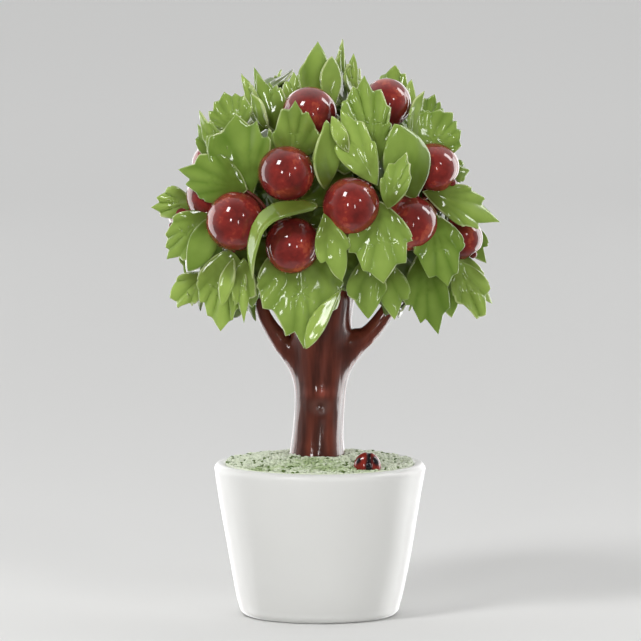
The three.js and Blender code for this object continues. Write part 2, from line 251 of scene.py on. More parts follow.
# The front apples: across, up and depth of the centre, the radius, and the
# heading of the calyx in degrees to the right and upwards of the front.
FRONT_APPLES = (
    (-5.1, 258.3, -46, 13.9, 170, -50), (34.8, 263.5, -36, 12.7, 150, -50),
    (-17.3, 227.3, -66, 14.4, 170, -60), (-43.5, 203.1, -60, 15.2, 190, -60),
    (-13.9, 190, -68, 14.2, 170, -40), (16, 210.5, -71, 14.7, 175, -50),
    (46.7, 201.8, -56, 14.6, 160, -60), (59, 230.4, -44, 12.9, 82, -38),
    (61.1, 218.6, -22, 11.3, 80, -10), (72.5, 193.8, -30, 11.3, 80, -50),
    (-54.5, 231.5, -20, 11.6, -100, -20), (-56.4, 216, -42, 12.4, -150, -40),
    (-66.8, 205.7, -22, 11.3, -80, -30),
)

LADYBIRD_SEAT = np.array((24.5, -33.0, 80.0))
LADYBIRD_SIZE = np.array((7.2, 5.0, 8.4))


# ------------------------------------------------------- sizes a user may change


def length_property(name, description, default, low, high):
    """A length in metres between two limits."""
    return bpy.props.FloatProperty(
        name=name, description=description, default=default, min=low, max=high, unit="LENGTH")


def count_property(name, description, default, high):
    """A whole number from none up to a limit."""
    return bpy.props.IntProperty(name=name, description=description, default=default, min=0, max=high)


def colour_property(name, description, default):
    """A colour by its linear shares of red, green and blue."""
    return bpy.props.FloatVectorProperty(
        name=name, description=description, default=default, size=3, min=0.0, max=1.0, subtype="COLOR")


class ClaySizes(bpy.types.PropertyGroup):
    """Sizes and counts of the clay pieces."""

    leaf_thickness: length_property(
        "Leaf thickness", "Thickness of the rolled clay in the middle of a leaf", 0.0018, 0.0005, 0.005)
    tooth_depth: bpy.props.FloatProperty(
        name="Tooth depth", description="Depth of the notches between teeth, as a share of the leaf's length",
        default=0.19, min=0.0, max=0.5, subtype="FACTOR")
    outer_leaves: count_property(
        "Outer leaves", "Leaves that the growing rule would spread over the whole crown", 120, 400)
    inner_leaves: count_property(
        "Inner leaves", "Small leaves deep in the crown that close the view through it", 120, 300)
    apples_behind: count_property(
        "Fruit behind", "Fruit that the growing rule adds round the sides and back", 14, 60)
    apple_radius: length_property(
        "Fruit radius", "Radius of the fruit that the growing rule adds", 0.0136, 0.004, 0.03)
    twig_radius: length_property(
        "Twig radius", "Radius of a twig where it meets its leaf", 0.0008, 0.0003, 0.004)
    crumbs: count_property("Crumbs", "Crumbs of clay fused on the ground", 3200, 8000)
    crumb_size: length_property("Crumb size", "Usual radius of a crumb", 0.00074, 0.0001, 0.003)
    seed: bpy.props.IntProperty(
        name="Seed", description="Chooses one of the many trees that the growing rule can make",
        default=11, min=0)


class GlazeColours(bpy.types.PropertyGroup):
    """Colours of the glazes."""

    leaf_deep: colour_property("Leaf, deep", "Leaf glaze where it lies thick", (0.105, 0.19, 0.022))
    leaf_light: colour_property("Leaf, light", "Leaf glaze where it lies thin", (0.36, 0.495, 0.105))
    # The olive is glaze pooled at a leaf's foot and also painted shade there, and over the leaves deep in the
    # crown.
    leaf_pooled_glaze_and_shade: colour_property(
        "Leaf, olive", "Brownish green glaze pooled at the foot of a leaf", (0.066, 0.078, 0.010))
    # The edge colour is cream clay where the glaze breaks at the rim, and it also stands for a painted
    # highlight on the rounded rim.
    leaf_edge_clay_and_sheen: colour_property(
        "Leaf edge", "Cream clay that shows through along the edges", (0.60, 0.66, 0.33))
    bark_dark: colour_property("Bark, dark", "Brown glaze of the trunk and twigs", (0.074, 0.021, 0.014))
    bark_red: colour_property("Bark, red", "Reddish streaks in the brown glaze", (0.215, 0.05, 0.03))
    bark_rubbed: colour_property("Bark, rubbed", "Orange red over the knot", (0.5, 0.115, 0.08))
    bark_scar: colour_property("Bark, scar", "Greyish brown of the healed knot", (0.19, 0.092, 0.077))
    apple_dark: colour_property("Fruit, dark", "Red glaze where it lies thick", (0.115, 0.018, 0.016))
    apple_bright: colour_property("Fruit, bright", "Red glaze where it lies thin", (0.305, 0.031, 0.024))
    apple_orange: colour_property("Fruit, orange", "Red glaze where it lies thinnest", (0.43, 0.085, 0.042))
    pot_white: colour_property("Pot", "White glaze of the pot", (0.80, 0.80, 0.78))
    ground_pale: colour_property("Ground", "Pale green of the crumbs", (0.88, 0.95, 0.75))
    ground_moss: colour_property("Ground moss", "Yellower green of the mossy patches", (0.36, 0.50, 0.17))
    ground_dark: colour_property("Ground flecks", "Dark green of a few crumbs", (0.115, 0.19, 0.035))
    ladybird_red: colour_property("Ladybird", "Red of the wing cases", (0.21, 0.022, 0.015))
    ladybird_black: colour_property(
        "Ladybird spots", "Black of its spots, seam and head and of the fruit's calyx", (0.012, 0.011, 0.014))


class StudioSetup(bpy.types.PropertyGroup):
    """The plain studio round the tree."""

    floor_colour: colour_property("Floor", "Colour of the pale floor", (0.76, 0.76, 0.75))
    # The paler far floor is painted light that makes up for the lamps' light falling off with distance.
    floor_far_painted_bright: colour_property("Floor, far", "Colour of the floor far away", (0.94, 0.94, 0.93))
    surround: bpy.props.FloatProperty(
        name="Surround", description="Brightness of the white surround at the sides and behind",
        default=0.95, min=0.0, max=10.0)
    front_share: bpy.props.FloatProperty(
        name="Front share", description="Brightness of the surround in front, as a share of the rest",
        default=0.09, min=0.0, max=1.0, subtype="FACTOR")
    light_level: bpy.props.FloatProperty(
        name="Light level", description="Scales all the lamps together", default=1.0, min=0.0, max=10.0)


# ----------------------------------------------------------- working with arrays


def unit(vectors):
    """Vectors scaled to length one."""
    vectors = np.asarray(vectors, float)
    return vectors / np.maximum(np.linalg.norm(vectors, axis=-1, keepdims=True), 1e-12)


def smoothstep(values, low, high):
    """Rises smoothly from 0 at low to 1 at high."""
    share = np.clip((np.asarray(values, float) - low) / (high - low), 0, 1)
    return share * share * (3 - 2 * share)


def heading(right, up):
    """Unit vector that points right and up of the front by the given degrees."""
    right, up = np.radians(right), np.radians(up)
    return np.array((np.sin(right) * np.cos(up), -np.cos(right) * np.cos(up), np.sin(up)))


def ripple(points, wavelength, seed, waves=14):
    """Smooth seeded unevenness: the sum of plane waves of about one length in all directions."""
    rng = np.random.default_rng(seed)
    ways = unit(rng.normal(size=(waves, points.shape[-1]))) * (2 * np.pi / wavelength)
    ways = ways * rng.uniform(0.7, 1.3, (waves, 1))
    phases = rng.uniform(0, 2 * np.pi, waves)
    total = np.zeros(points.shape[:-1])
    for way, phase in zip(ways, phases):
        total += np.sin(points @ way + phase)
    return total / math.sqrt(waves)


def smooth_line(points, count):
    """Catmull-Rom curve through the points, at evenly spread parameters.

    Further columns, such as a radius, are carried along.
    """
    points = np.asarray(points, float)
    ends = np.vstack([2 * points[0] - points[1], points, 2 * points[-1] - points[-2]])
    place = np.linspace(0, len(points) - 1, count)
    start = np.minimum(place.astype(int), len(points) - 2)
    t = (place - start)[:, None]
    a, b, c, d = ends[start], ends[start + 1], ends[start + 2], ends[start + 3]
    return 0.5 * (2 * b + (c - a) * t + (2 * a - 5 * b + 4 * c - d) * t**2 + (3 * b - a - 3 * c + d) * t**3)


def bent_line(distance, stations, slopes):
    """Bends a straight line through zero, and tells where each distance comes to.

    The slope, in degrees, is given at each station and changes evenly between them.
    Returns the level and the upright place and the slope there in radians.
    """
    fine = np.linspace(stations[0], stations[-1], 161)
    slope = np.radians(np.interp(fine, stations, slopes))
    step = fine[1] - fine[0]
    middle = (slope[1:] + slope[:-1]) / 2
    level = np.concatenate([[0], np.cumsum(np.cos(middle))]) * step
    upright = np.concatenate([[0], np.cumsum(np.sin(middle))]) * step
    level -= np.interp(0, fine, level)
    upright -= np.interp(0, fine, upright)
    return (np.interp(distance, fine, level), np.interp(distance, fine, upright),
            np.interp(distance, fine, slope))


def seen_at(across, up, depth):
    """The point that the front view shows at across and up, at this place along Y."""
    tilt = math.radians(VIEW_HEIGHT_ANGLE)
    rise = up - VIEW_TARGET[2] * math.cos(tilt)
    away = (depth - rise * math.sin(tilt)) / (math.cos(tilt) + rise / VIEW_DISTANCE * math.sin(tilt))
    grow = 1 + away / VIEW_DISTANCE
    forward = np.array((0, math.cos(tilt), -math.sin(tilt)))
    upward = np.array((0, math.sin(tilt), math.cos(tilt)))
    side = np.array((across - VIEW_TARGET[0], 0, 0))
    return VIEW_TARGET + (side + upward * rise) * grow + forward * away


def crown_reach(ways):
    """Distance from the crown's centre to its outline along each unit vector.

    The outline is an ellipse above the centre and a boxier bowl below it.
    """
    ways = np.asarray(ways, float)
    level = np.hypot(ways[..., 0], ways[..., 1]) / CROWN_RADIUS
    dome = (level**2 + (ways[..., 2] / CROWN_RISE) ** 2) ** -0.5
    bowl = (level**SKIRT_POWER + (np.abs(ways[..., 2]) / CROWN_DROP) ** SKIRT_POWER) ** (-1 / SKIRT_POWER)
    return np.where(ways[..., 2] > 0, dome, bowl)


def spiral(count):
    """Directions spread evenly over a sphere along a golden spiral, from the top down."""
    number = np.arange(count)
    height = 1 - (2 * number + 1) / count
    turn = number * math.pi * (3 - math.sqrt(5))
    level = np.sqrt(1 - height**2)
    return np.stack([level * np.cos(turn), level * np.sin(turn), height], axis=-1)


# ------------------------------------------------------------ skins and meshes

# A skin runs from a first point over closed rings of points to a last point. Its
# numbers hold one value for each point, and flat is its place on the flat map.
Skin = namedtuple("Skin", "points rings columns numbers flat")


def over_ends(grid):
    """Adds the mean of the first and of the last ring to a grid, as the values of the two end points."""
    return np.concatenate([grid[:1].mean(axis=1), grid.reshape(-1, *grid.shape[2:]), grid[-1:].mean(axis=1)])


def make_skin(grid, first=None, last=None, flat=None, **numbers):
    """A skin from a grid of rings. An end point that isn't given is the middle of its ring."""
    points = over_ends(grid)
    if first is not None:
        points[0] = first
    if last is not None:
        points[-1] = last
    rings, columns = grid.shape[:2]
    numbers = {name: over_ends(np.broadcast_to(value, (rings, columns))) for name, value in numbers.items()}
    return Skin(points, rings, columns, numbers, None if flat is None else over_ends(flat))


def skin_faces(rings, columns):
    """Triangles at the two end points and quads between the rings, and the ring where each starts.

    They face outwards where a step to the next ring, a step round the ring and a step
    outwards make a right-handed set.
    """
    ring = 1 + np.arange(rings * columns).reshape(rings, columns)
    beside = np.roll(ring, -1, axis=1)
    ends = np.full(columns, 0), np.full(columns, rings * columns + 1)
    triangles = np.concatenate([
        np.stack([ends[0], ring[0], beside[0]], axis=-1),
        np.stack([ring[-1], ends[1], beside[-1]], axis=-1),
    ])
    quads = np.stack([ring[:-1], ring[1:], beside[1:], beside[:-1]], axis=-1).reshape(-1, 4)
    triangle_ring = np.repeat([0, rings - 1], columns)
    quad_ring = np.repeat(np.arange(rings - 1), columns)
    return triangles, quads, triangle_ring, quad_ring


def map_cells(skins):
    """Side of the square flat map in cells, of which each half of a skin has one."""
    return math.ceil(math.sqrt(2 * len(skins)))


def mark_points(mesh, marks):
    """Stores each named list of numbers as an attribute of the mesh's points."""
    for name, values in marks.items():
        layer = mesh.attributes.new(name, "FLOAT", "POINT")
        layer.data.foreach_set("value", values.astype(np.float32))


def build_mesh(name, skins):
    """One mesh from many skins, in metres, with their numbers as attributes of its points.

    Where the skins have a flat map, each half of a skin has its own cell in the mesh's.
    """
    points, corners, sizes, places = [], [], [], []
    cells = map_cells(skins)
    offset = 0
    for number, skin in enumerate(skins):
        triangles, quads, triangle_ring, quad_ring = skin_faces(skin.rings, skin.columns)
        points.append(skin.points)
        corners += [(triangles + offset).ravel(), (quads + offset).ravel()]
        sizes += [np.full(len(triangles), 3), np.full(len(quads), 4)]
        offset += len(skin.points)
        if skin.flat is not None:
            for faces, ring in ((triangles, triangle_ring), (quads, quad_ring)):
                cell = 2 * number + (ring >= skin.rings // 2)
                shift = np.stack([cell % cells, cell // cells], axis=-1)[:, None]
                places.append(((skin.flat[faces] + shift) / cells).reshape(-1, 2))
    points, corners, sizes = np.concatenate(points) * MM, np.concatenate(corners), np.concatenate(sizes)
    mesh = bpy.data.meshes.new(name)
    mesh.vertices.add(len(points))
    mesh.vertices.foreach_set("co", points.astype(np.float32).ravel())
    mesh.loops.add(len(corners))
    mesh.loops.foreach_set("vertex_index", corners.astype(np.int32))
    mesh.polygons.add(len(sizes))
    mesh.polygons.foreach_set("loop_start", (np.cumsum(sizes) - sizes).astype(np.int32))
    mesh.update(calc_edges=True)
    mesh.polygons.foreach_set("use_smooth", np.ones(len(sizes), bool))
    mark_points(mesh, {
        key: np.concatenate([skin.numbers[key] for skin in skins]) for key in skins[0].numbers
    })
    if places:
        layer = mesh.uv_layers.new(name="OFBake")
        layer.uv.foreach_set("vector", np.concatenate(places).astype(np.float32).ravel())
    if mesh.validate():
        raise RuntimeError(f"{name} has faces that fold onto themselves")
    return mesh


def add_object(name, data):
    """A new object in the scene that shows this data."""
    item = bpy.data.objects.new(name, data)
    bpy.context.scene.collection.objects.link(item)
    return item


def add_piece(name, mesh, material, replaced=()):
    """Shows a mesh as a piece of the tree, with its glaze, that stands for the given nodes."""
    piece = add_object(name, mesh)
    mesh.materials.append(material)
    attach(piece, BODY)
    if replaced:
        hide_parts(*replaced)


def add_skins(name, skins, material, replaced=()):
    """Shows closed skins as one piece of the tree."""
    add_piece(name, build_mesh(name, skins), material, replaced)


def tube(route, sides, **numbers):
    """A round profile carried along a route of x, y, z and radius, with its ends closed."""
    route = np.asarray(route, float)
    centres, radii = route[:, :3], route[:, 3]
    ahead = unit(np.gradient(centres, axis=0))
    chord = np.abs(centres[-1] - centres[0])
    reference = np.eye(3)[np.argmin(chord)]
    side = unit(np.cross(ahead, reference))
    up = np.cross(side, ahead)
    turn = np.linspace(0, 2 * np.pi, sides, endpoint=False)[None, :, None]
    profile = np.cos(turn) * side[:, None] + np.sin(turn) * up[:, None]
    grid = centres[:, None] + radii[:, None, None] * profile
    return make_skin(grid, centres[0], centres[-1], **numbers)


def turned(profile, columns):
    """A profile of radius and height carried round the upright axis, as a grid of rings."""
    turn = np.linspace(0, 2 * np.pi, columns, endpoint=False)
    radius, height = np.asarray(profile, float).T[:, :, None]
    return np.stack([radius * np.cos(turn), radius * np.sin(turn), height + 0 * turn], axis=-1)


def corner(centre, size, start, end, count):
    """Points of radius and height round part of a circle, from one angle to another in degrees."""
    turn = np.radians(np.linspace(start, end, count))
    return np.stack([centre[0] + size * np.cos(turn), centre[1] + size * np.sin(turn)], axis=-1)


# -------------------------------------------------------------------- the nodes


class Desk:
    """Places nodes in a node tree and joins them."""

    def __init__(self, tree):
        self.tree = tree

    def add(self, kind, inputs=None, **settings):
        """A node of this kind. inputs gives a plain value or another node's output for each named socket."""
        node = self.tree.nodes.new(kind)
        for name, value in settings.items():
            setattr(node, name, value)
        for name, value in (inputs or {}).items():
            self.feed(node.inputs[name], value)
        return node

    def feed(self, socket, value):
        """Joins a node's output to a socket, or sets the socket to a plain value."""
        if isinstance(value, bpy.types.NodeSocket):
            self.tree.links.new(value, socket)
        else:
            socket.default_value = value

    def maths(self, operation, *values, clamp=False):
        """The result of an operation on the values, kept between 0 and 1 if clamped."""
        node = self.add("ShaderNodeMath", operation=operation, use_clamp=clamp)
        for socket, value in zip(node.inputs, values):
            self.feed(socket, value)
        return node.outputs[0]

    def mix(self, factor, first, second):
        """Mixes two colours."""
        node = self.add("ShaderNodeMix", data_type="RGBA", clamp_factor=True)
        self.feed(node.inputs["Factor"], factor)
        for socket, value in ((node.inputs[6], first), (node.inputs[7], second)):
            self.feed(socket, value if isinstance(value, bpy.types.NodeSocket) else (*value, 1.0))
        return node.outputs[2]

    def ease(self, value, low, high, to_low=0.0, to_high=1.0):
        """Carries a value smoothly from one range to another."""
        return self.add("ShaderNodeMapRange", {
            "Value": value, "From Min": low, "From Max": high, "To Min": to_low, "To Max": to_high,
        }, interpolation_type="SMOOTHSTEP").outputs["Result"]

    def noise(self, vector, scale, detail=2.0, roughness=0.5):
        """Cloudy noise about a half."""
        return self.add("ShaderNodeTexNoise", {
            "Vector": vector, "Scale": scale, "Detail": detail, "Roughness": roughness,
        }).outputs["Fac"]

    def place(self):
        """Object coordinates."""
        return self.add("ShaderNodeTexCoord").outputs["Object"]

    def number(self, name):
        """A number that the mesh holds for each point."""
        return self.add("ShaderNodeAttribute", attribute_name=name).outputs["Fac"]


def make_group(name, inputs, outputs):
    """An empty node group with these sockets, and a desk, its inputs and its output node to fill it."""
    tree = bpy.data.node_groups.new(name, "ShaderNodeTree")
    for label, kind, default in inputs:
        socket = tree.interface.new_socket(label, in_out="INPUT", socket_type=kind)
        if default is not None:
            socket.default_value = default
    for label, kind in outputs:
        tree.interface.new_socket(label, in_out="OUTPUT", socket_type=kind)
    desk = Desk(tree)
    return tree, desk, desk.add("NodeGroupInput").outputs, desk.add("NodeGroupOutput").inputs


def glaze_flow_group():
    """Where a glaze lies thin, as a mask, and the faint waves that its surface keeps, as a height.

    The mask is broad clouds with finer ones in them, spread about a half by the contrast.
    """
    name = "Glaze flow"
    if name in bpy.data.node_groups:
        return bpy.data.node_groups[name]
    tree, desk, given, result = make_group(
        name,
        [("Vector", "NodeSocketVector", None), ("Cloud Scale", "NodeSocketFloat", 60.0),
         ("Contrast", "NodeSocketFloat", 1.0), ("Wave Scale", "NodeSocketFloat", 180.0)],
        [("Thin", "NodeSocketFloat"), ("Waves", "NodeSocketFloat")])
    clouds = desk.noise(given["Vector"], given["Cloud Scale"], 3.0, 0.55)
    spread = desk.maths("MULTIPLY", desk.maths("SUBTRACT", clouds, 0.5), given["Contrast"])
    desk.feed(result["Thin"], desk.maths("ADD", spread, 0.5, clamp=True))
    desk.feed(result["Waves"], desk.noise(given["Vector"], given["Wave Scale"], 1.0, 0.4))
    return tree


def flow(desk, vector, cloud_scale, contrast, wave_scale):
    """Places the glaze flow group in a material and returns its mask and its height."""
    node = desk.add("ShaderNodeGroup", node_tree=glaze_flow_group())
    for label, value in (("Vector", vector), ("Cloud Scale", cloud_scale),
                         ("Contrast", contrast), ("Wave Scale", wave_scale)):
        desk.feed(node.inputs[label], value)
    return node.outputs["Thin"], node.outputs["Waves"]


def start_glaze(name):
    """A new material with one Principled shader, and a desk for its other nodes."""
    material = bpy.data.materials.new(name)
    material.use_nodes = True
    material.node_tree.nodes.clear()
    desk = Desk(material.node_tree)
    shader = desk.add("ShaderNodeBsdfPrincipled")
    desk.add("ShaderNodeOutputMaterial", {"Surface": shader.outputs["BSDF"]})
    return material, desk, shader


def finish_glaze(desk, shader, colour, roughness, height, depth, strength=1.0, ior=1.5):
    """Joins a colour, a roughness and a height, with its real depth in metres, to the shader."""
    bump = desk.add("ShaderNodeBump", {"Height": height, "Distance": depth, "Strength": strength})
    for label, value in (("Base Color", colour), ("Roughness", roughness),
                         ("Normal", bump.outputs["Normal"]), ("IOR", ior)):
        desk.feed(shader.inputs[label], value)


def leaf_glaze(colours):
    """Green glaze, dark in the grooves, and dark olive at the foot as pooled glaze and as painted shade. It
    breaks to cream clay along parts of the edge, a pale rim that is partly a painted highlight.
    """
    material, desk, shader = start_glaze("Leaf glaze")
    place = desk.place()
    thin, waves = flow(desk, place, 48.0, 1.5, 90.0)
    tint, fold, inset, foot = (desk.number(name) for name in ("tint", "fold", "inset", "foot"))
    tone = desk.maths("ADD", desk.maths("MULTIPLY", tint, 0.55), desk.maths("MULTIPLY", thin, 0.42))
    tone = desk.maths("ADD", tone, desk.maths("MULTIPLY", fold, 0.3))
    # Each leaf turns darker and olive towards its foot: pooled glaze, and also painted shade where leaves
    # crowd together and lie under the fruit.
    tone = desk.maths("SUBTRACT", tone, desk.maths("MULTIPLY", foot, 0.28), clamp=True)
    green = desk.mix(tone, colours.leaf_deep, colours.leaf_light)
    pooling_and_shade = desk.maths("MULTIPLY", foot, desk.ease(thin, 0.35, 0.75, 0.75, 0.1))
    green = desk.mix(pooling_and_shade, green, colours.leaf_pooled_glaze_and_shade)
    # Along parts of the rim the leaf turns pale cream: bare clay, and partly a painted highlight along the
    # rounded edge.
    broken = desk.ease(desk.noise(place, 75.0, 1.0), 0.4, 0.64, 0.05, 1.0)
    ragged = desk.maths("ADD", inset, desk.maths("MULTIPLY", desk.maths("SUBTRACT", thin, 0.5), 0.6))
    edge = desk.maths("MULTIPLY", desk.ease(ragged, 0.1, 0.95, 0.7, 0.0), broken)
    colour = desk.mix(edge, green, colours.leaf_edge_clay_and_sheen)
    roughness = desk.ease(thin, 0.2, 0.8, 0.06, 0.12)
    finish_glaze(desk, shader, colour, roughness, waves, 0.0008, 0.12)
    return material


def bark_glaze(colours):
    """Brown glaze in upright streaks, reddish where it ran thin and orange red where it was rubbed."""
    material, desk, shader = start_glaze("Bark glaze")
    place = desk.place()
    drawn = desk.add("ShaderNodeMapping", {"Vector": place, "Scale": (1.0, 1.0, 0.12)}).outputs["Vector"]
    thin, waves = flow(desk, drawn, 210.0, 2.4, 420.0)
    clouds, _ = flow(desk, place, 38.0, 1.8, 100.0)
    streak = desk.maths("MULTIPLY", thin, desk.ease(clouds, 0.25, 0.75, 0.3, 1.0))
    worn = desk.maths("ADD", streak, desk.maths("MULTIPLY", desk.number("ridge"), 0.3), clamp=True)
    colour = desk.mix(worn, colours.bark_dark, colours.bark_red)
    colour = desk.mix(desk.maths("MULTIPLY", desk.number("rub"), thin), colour, colours.bark_rubbed)
    colour = desk.mix(desk.maths("MULTIPLY", desk.number("scar"), 0.45), colour, colours.bark_scar)
    colour = desk.mix(desk.maths("MULTIPLY", desk.number("pupil"), 0.75), colour, colours.bark_dark)
    roughness = desk.ease(thin, 0.2, 0.8, 0.12, 0.2)
    finish_glaze(desk, shader, colour, roughness, waves, 0.0007, 0.25, 1.6)
    return material


def apple_glaze(colours):
    """Dark red glaze with bright and orange clouds, nearly black at the calyx."""
    material, desk, shader = start_glaze("Red glaze")
    place = desk.place()
    thin, waves = flow(desk, place, 95.0, 3.4, 90.0)
    grain, _ = flow(desk, place, 480.0, 2.4, 90.0)
    speckled = desk.maths("ADD", desk.maths("MULTIPLY", thin, 0.68), desk.maths("MULTIPLY", grain, 0.32))
    red = desk.mix(speckled, colours.apple_dark, colours.apple_bright)
    orange = desk.ease(speckled, 0.66, 0.95, 0.0, 0.7)
    red = desk.mix(orange, red, colours.apple_orange)
    colour = desk.mix(desk.maths("MULTIPLY", desk.number("eye"), 0.8), red, colours.ladybird_black)
    roughness = desk.ease(thin, 0.2, 0.8, 0.04, 0.08)
    finish_glaze(desk, shader, colour, roughness, waves, 0.0008, 0.3, 1.6)
    return material


def pot_glaze(colours):
    """White glaze with barely visible clouds."""
    material, desk, shader = start_glaze("White glaze")
    thin, waves = flow(desk, desk.place(), 28.0, 1.0, 60.0)
    white = colours.pot_white
    shade = tuple(0.985 * share for share in white)
    colour = desk.mix(thin, shade, white)
    finish_glaze(desk, shader, colour, 0.27, waves, 0.0008, 0.12, 1.36)
    return material


def ground_glaze(colours):
    """Pale matt green crumbs, a few of them dark."""
    material, desk, shader = start_glaze("Ground glaze")
    thin, waves = flow(desk, desk.place(), 700.0, 1.8, 1500.0)
    # The pale crumbs are dimmer in fine specks, partly their own grain and partly painted shade between the
    # crumbs.
    pale = desk.mix(thin, tuple(0.82 * share for share in colours.ground_pale), colours.ground_pale)
    dark = desk.number("dark")
    colour = desk.mix(desk.ease(dark, 0.0, 0.6, 0.0, 0.75), pale, colours.ground_moss)
    colour = desk.mix(desk.ease(dark, 0.6, 0.95), colour, colours.ground_dark)
    finish_glaze(desk, shader, colour, 0.55, waves, 0.0003, 0.8)
    return material


def ladybird_glaze(colours):
    """Red wing cases with black spots, seam and head."""
    material, desk, shader = start_glaze("Ladybird glaze")
    thin, waves = flow(desk, desk.place(), 260.0, 2.0, 300.0)
    red = desk.mix(thin, colours.ladybird_red, tuple(min(1.6 * c, 1.0) for c in colours.ladybird_red))
    colour = desk.mix(desk.number("black"), red, colours.ladybird_black)
    finish_glaze(desk, shader, colour, 0.08, waves, 0.0003, 0.4)
    return material


# ---------------------------------------------------------------------- leaves

# Rings of a leaf, as shares of the way from its middle to its rim: those of the
# leaves that show, and fewer for the small ones deep in the crown.
LEAF_RINGS = np.array((0.12, 0.25, 0.38, 0.5, 0.61, 0.71, 0.8, 0.87, 0.93, 0.97, 0.99, 1.0))
INNER_RINGS = np.array((0.3, 0.6, 0.84, 0.96, 1.0))

# The rim: how full the leaf's sides are, how its teeth lean, spread and drift, where
# on the middle line they point to, and how deep and how sharp the notches are.
LEAF_FULLNESS = 0.78
TOOTH_LEAN = 0.13
TOOTH_SPACING = 1.3
TOOTH_DRIFT = 0.15
TOOTH_ROOT = 0.12
NOTCH_DEPTHS = (0.5, 1.5)
NOTCH_SHARPNESS = (0.6, 0.95)

# The face: how far the leaf sways sideways and sags, as shares of its length, the
# depth of its pressed unevenness in millimetres, the softness and the level of its
# grooves, the share of the half width up to which the edges turn up, how late its
# thickness rounds off towards the rim, and the margin of its cell in the flat map.
LEAF_SWAY = 0.06
LEAF_SAG = 0.032
PRESSED_DEPTH = 0.3
GROOVE_SOFTNESS = 0.02
GROOVE_LEVEL = 0.7
EDGE_REACH = 1.2
EDGE_ROUNDING = 14
MAP_MARGIN = 0.03

# Where a grown leaf may lie: the room it wants to apples and to other leaves, how
# near the front view has to show a planned leaf for it to count, how far behind it
# the grown one stays, how far forward the outer ones start, how far above the
# lowest tips it ends, and its limit as a share of the way to the outline: that at
# the sides, and how much more it is in front and behind.
APPLE_ROOM = 3.0
LEAF_ROOM = 7.0
FRONT_NEARNESS = 8.0
FRONT_CLEARANCE = 3.0
FRONT_DEPTH = -12.0
SKIRT_MARGIN = 2.0
SIDE_LIMIT = 0.83
DEPTH_SPARE = 0.12

# Apples that the rule adds: how many places are tried, how far out they lie as a
# share of the way to the outline, how far back they start, and their least gap.
APPLE_PLACES = 420
APPLE_SHARE = 0.75
APPLE_BACK = 28
APPLE_GAP = 11


def leaf_outline(side, plan, slim, depth, rng):
    """Rim of a leaf one unit long, with its foot at zero, and the tooth and the angle at each place.

    side runs from -1 to 1 round the rim by length, with 0 at the tip. The half width
    follows a sine wave whose crest is moved to the widest place, and between each two
    teeth, which lean to the tip and are unevenly spaced and deep, the rim dips towards
    the leaf's root. Teeth are counted from the tip and angles are about the root.
    """
    fine = np.linspace(0, 1, 600)
    along = (1 + np.cos(np.pi * fine)) / 2
    stretch = math.log(0.5) / math.log(plan.wide)
    half = slim / 2 * np.clip(np.sin(np.pi * along**stretch), 0, None) ** LEAF_FULLNESS
    run = np.concatenate([[0], np.cumsum(np.hypot(np.diff(along), np.diff(half)))])
    run = run / run[-1]
    run_to = np.abs(side)
    rim = np.stack([np.interp(run_to, run, along), np.sign(side) * np.interp(run_to, run, half)], axis=-1)
    tooth = side * plan.teeth / TOOTH_SPACING
    phase = rng.uniform(0, 2 * np.pi)
    tooth = tooth + TOOTH_DRIFT * (np.sin(2.1 * tooth + phase) - np.sin(phase))
    even = plan.teeth % 2 == 0
    from_tip = np.abs(tooth) - (0.5 if even else 0)
    number = np.round(from_tip)
    place = from_tip - number
    leans = TOOTH_LEAN if even else TOOTH_LEAN * (number > 0)
    place = place + leans * (1 - 4 * place**2)
    notch = (plan.teeth + np.sign(side) * (number + (place > 0))).astype(int)
    nicks = rng.uniform(*NOTCH_DEPTHS, 2 * plan.teeth + 3)
    inside = np.abs(tooth) < (plan.teeth - 1) / 2
    dip = inside * (2 * np.abs(place)) ** rng.uniform(*NOTCH_SHARPNESS) * nicks[notch]
    root = np.array((TOOTH_ROOT, 0))
    angle = np.arctan2(rim[:, 1], rim[:, 0] - TOOTH_ROOT)
    rim = root + (rim - root) * (1 - depth * dip[:, None])
    return rim, tooth, angle


def smoothed(values, reach=4):
    """Values averaged with their neighbours round each ring."""
    return sum(np.roll(values, step, axis=1) for step in range(-reach, reach + 1)) / (2 * reach + 1)


def pressed_lobes(flat, angle, tooth, teeth):
    """Height of a flat leaf's soft lobes, between grooves that run from each notch to the root.

    It is the rounded size of a cosine of the place between the teeth, less a level, and
    fades out towards the root.
    """
    out = flat - np.array((TOOTH_ROOT, 0))
    line = np.interp(np.arctan2(out[..., 1], out[..., 0]), angle, tooth)
    shifted = line + (0.5 if teeth % 2 == 0 else 0)
    lobe = np.sqrt(np.cos(np.pi * shifted) ** 2 + GROOVE_SOFTNESS)
    lobe = np.where(np.abs(line) < (teeth - 1) / 2, lobe, 1.0) - GROOVE_LEVEL
    return lobe * smoothstep(np.hypot(out[..., 0], out[..., 1]), 0.03, 0.5)


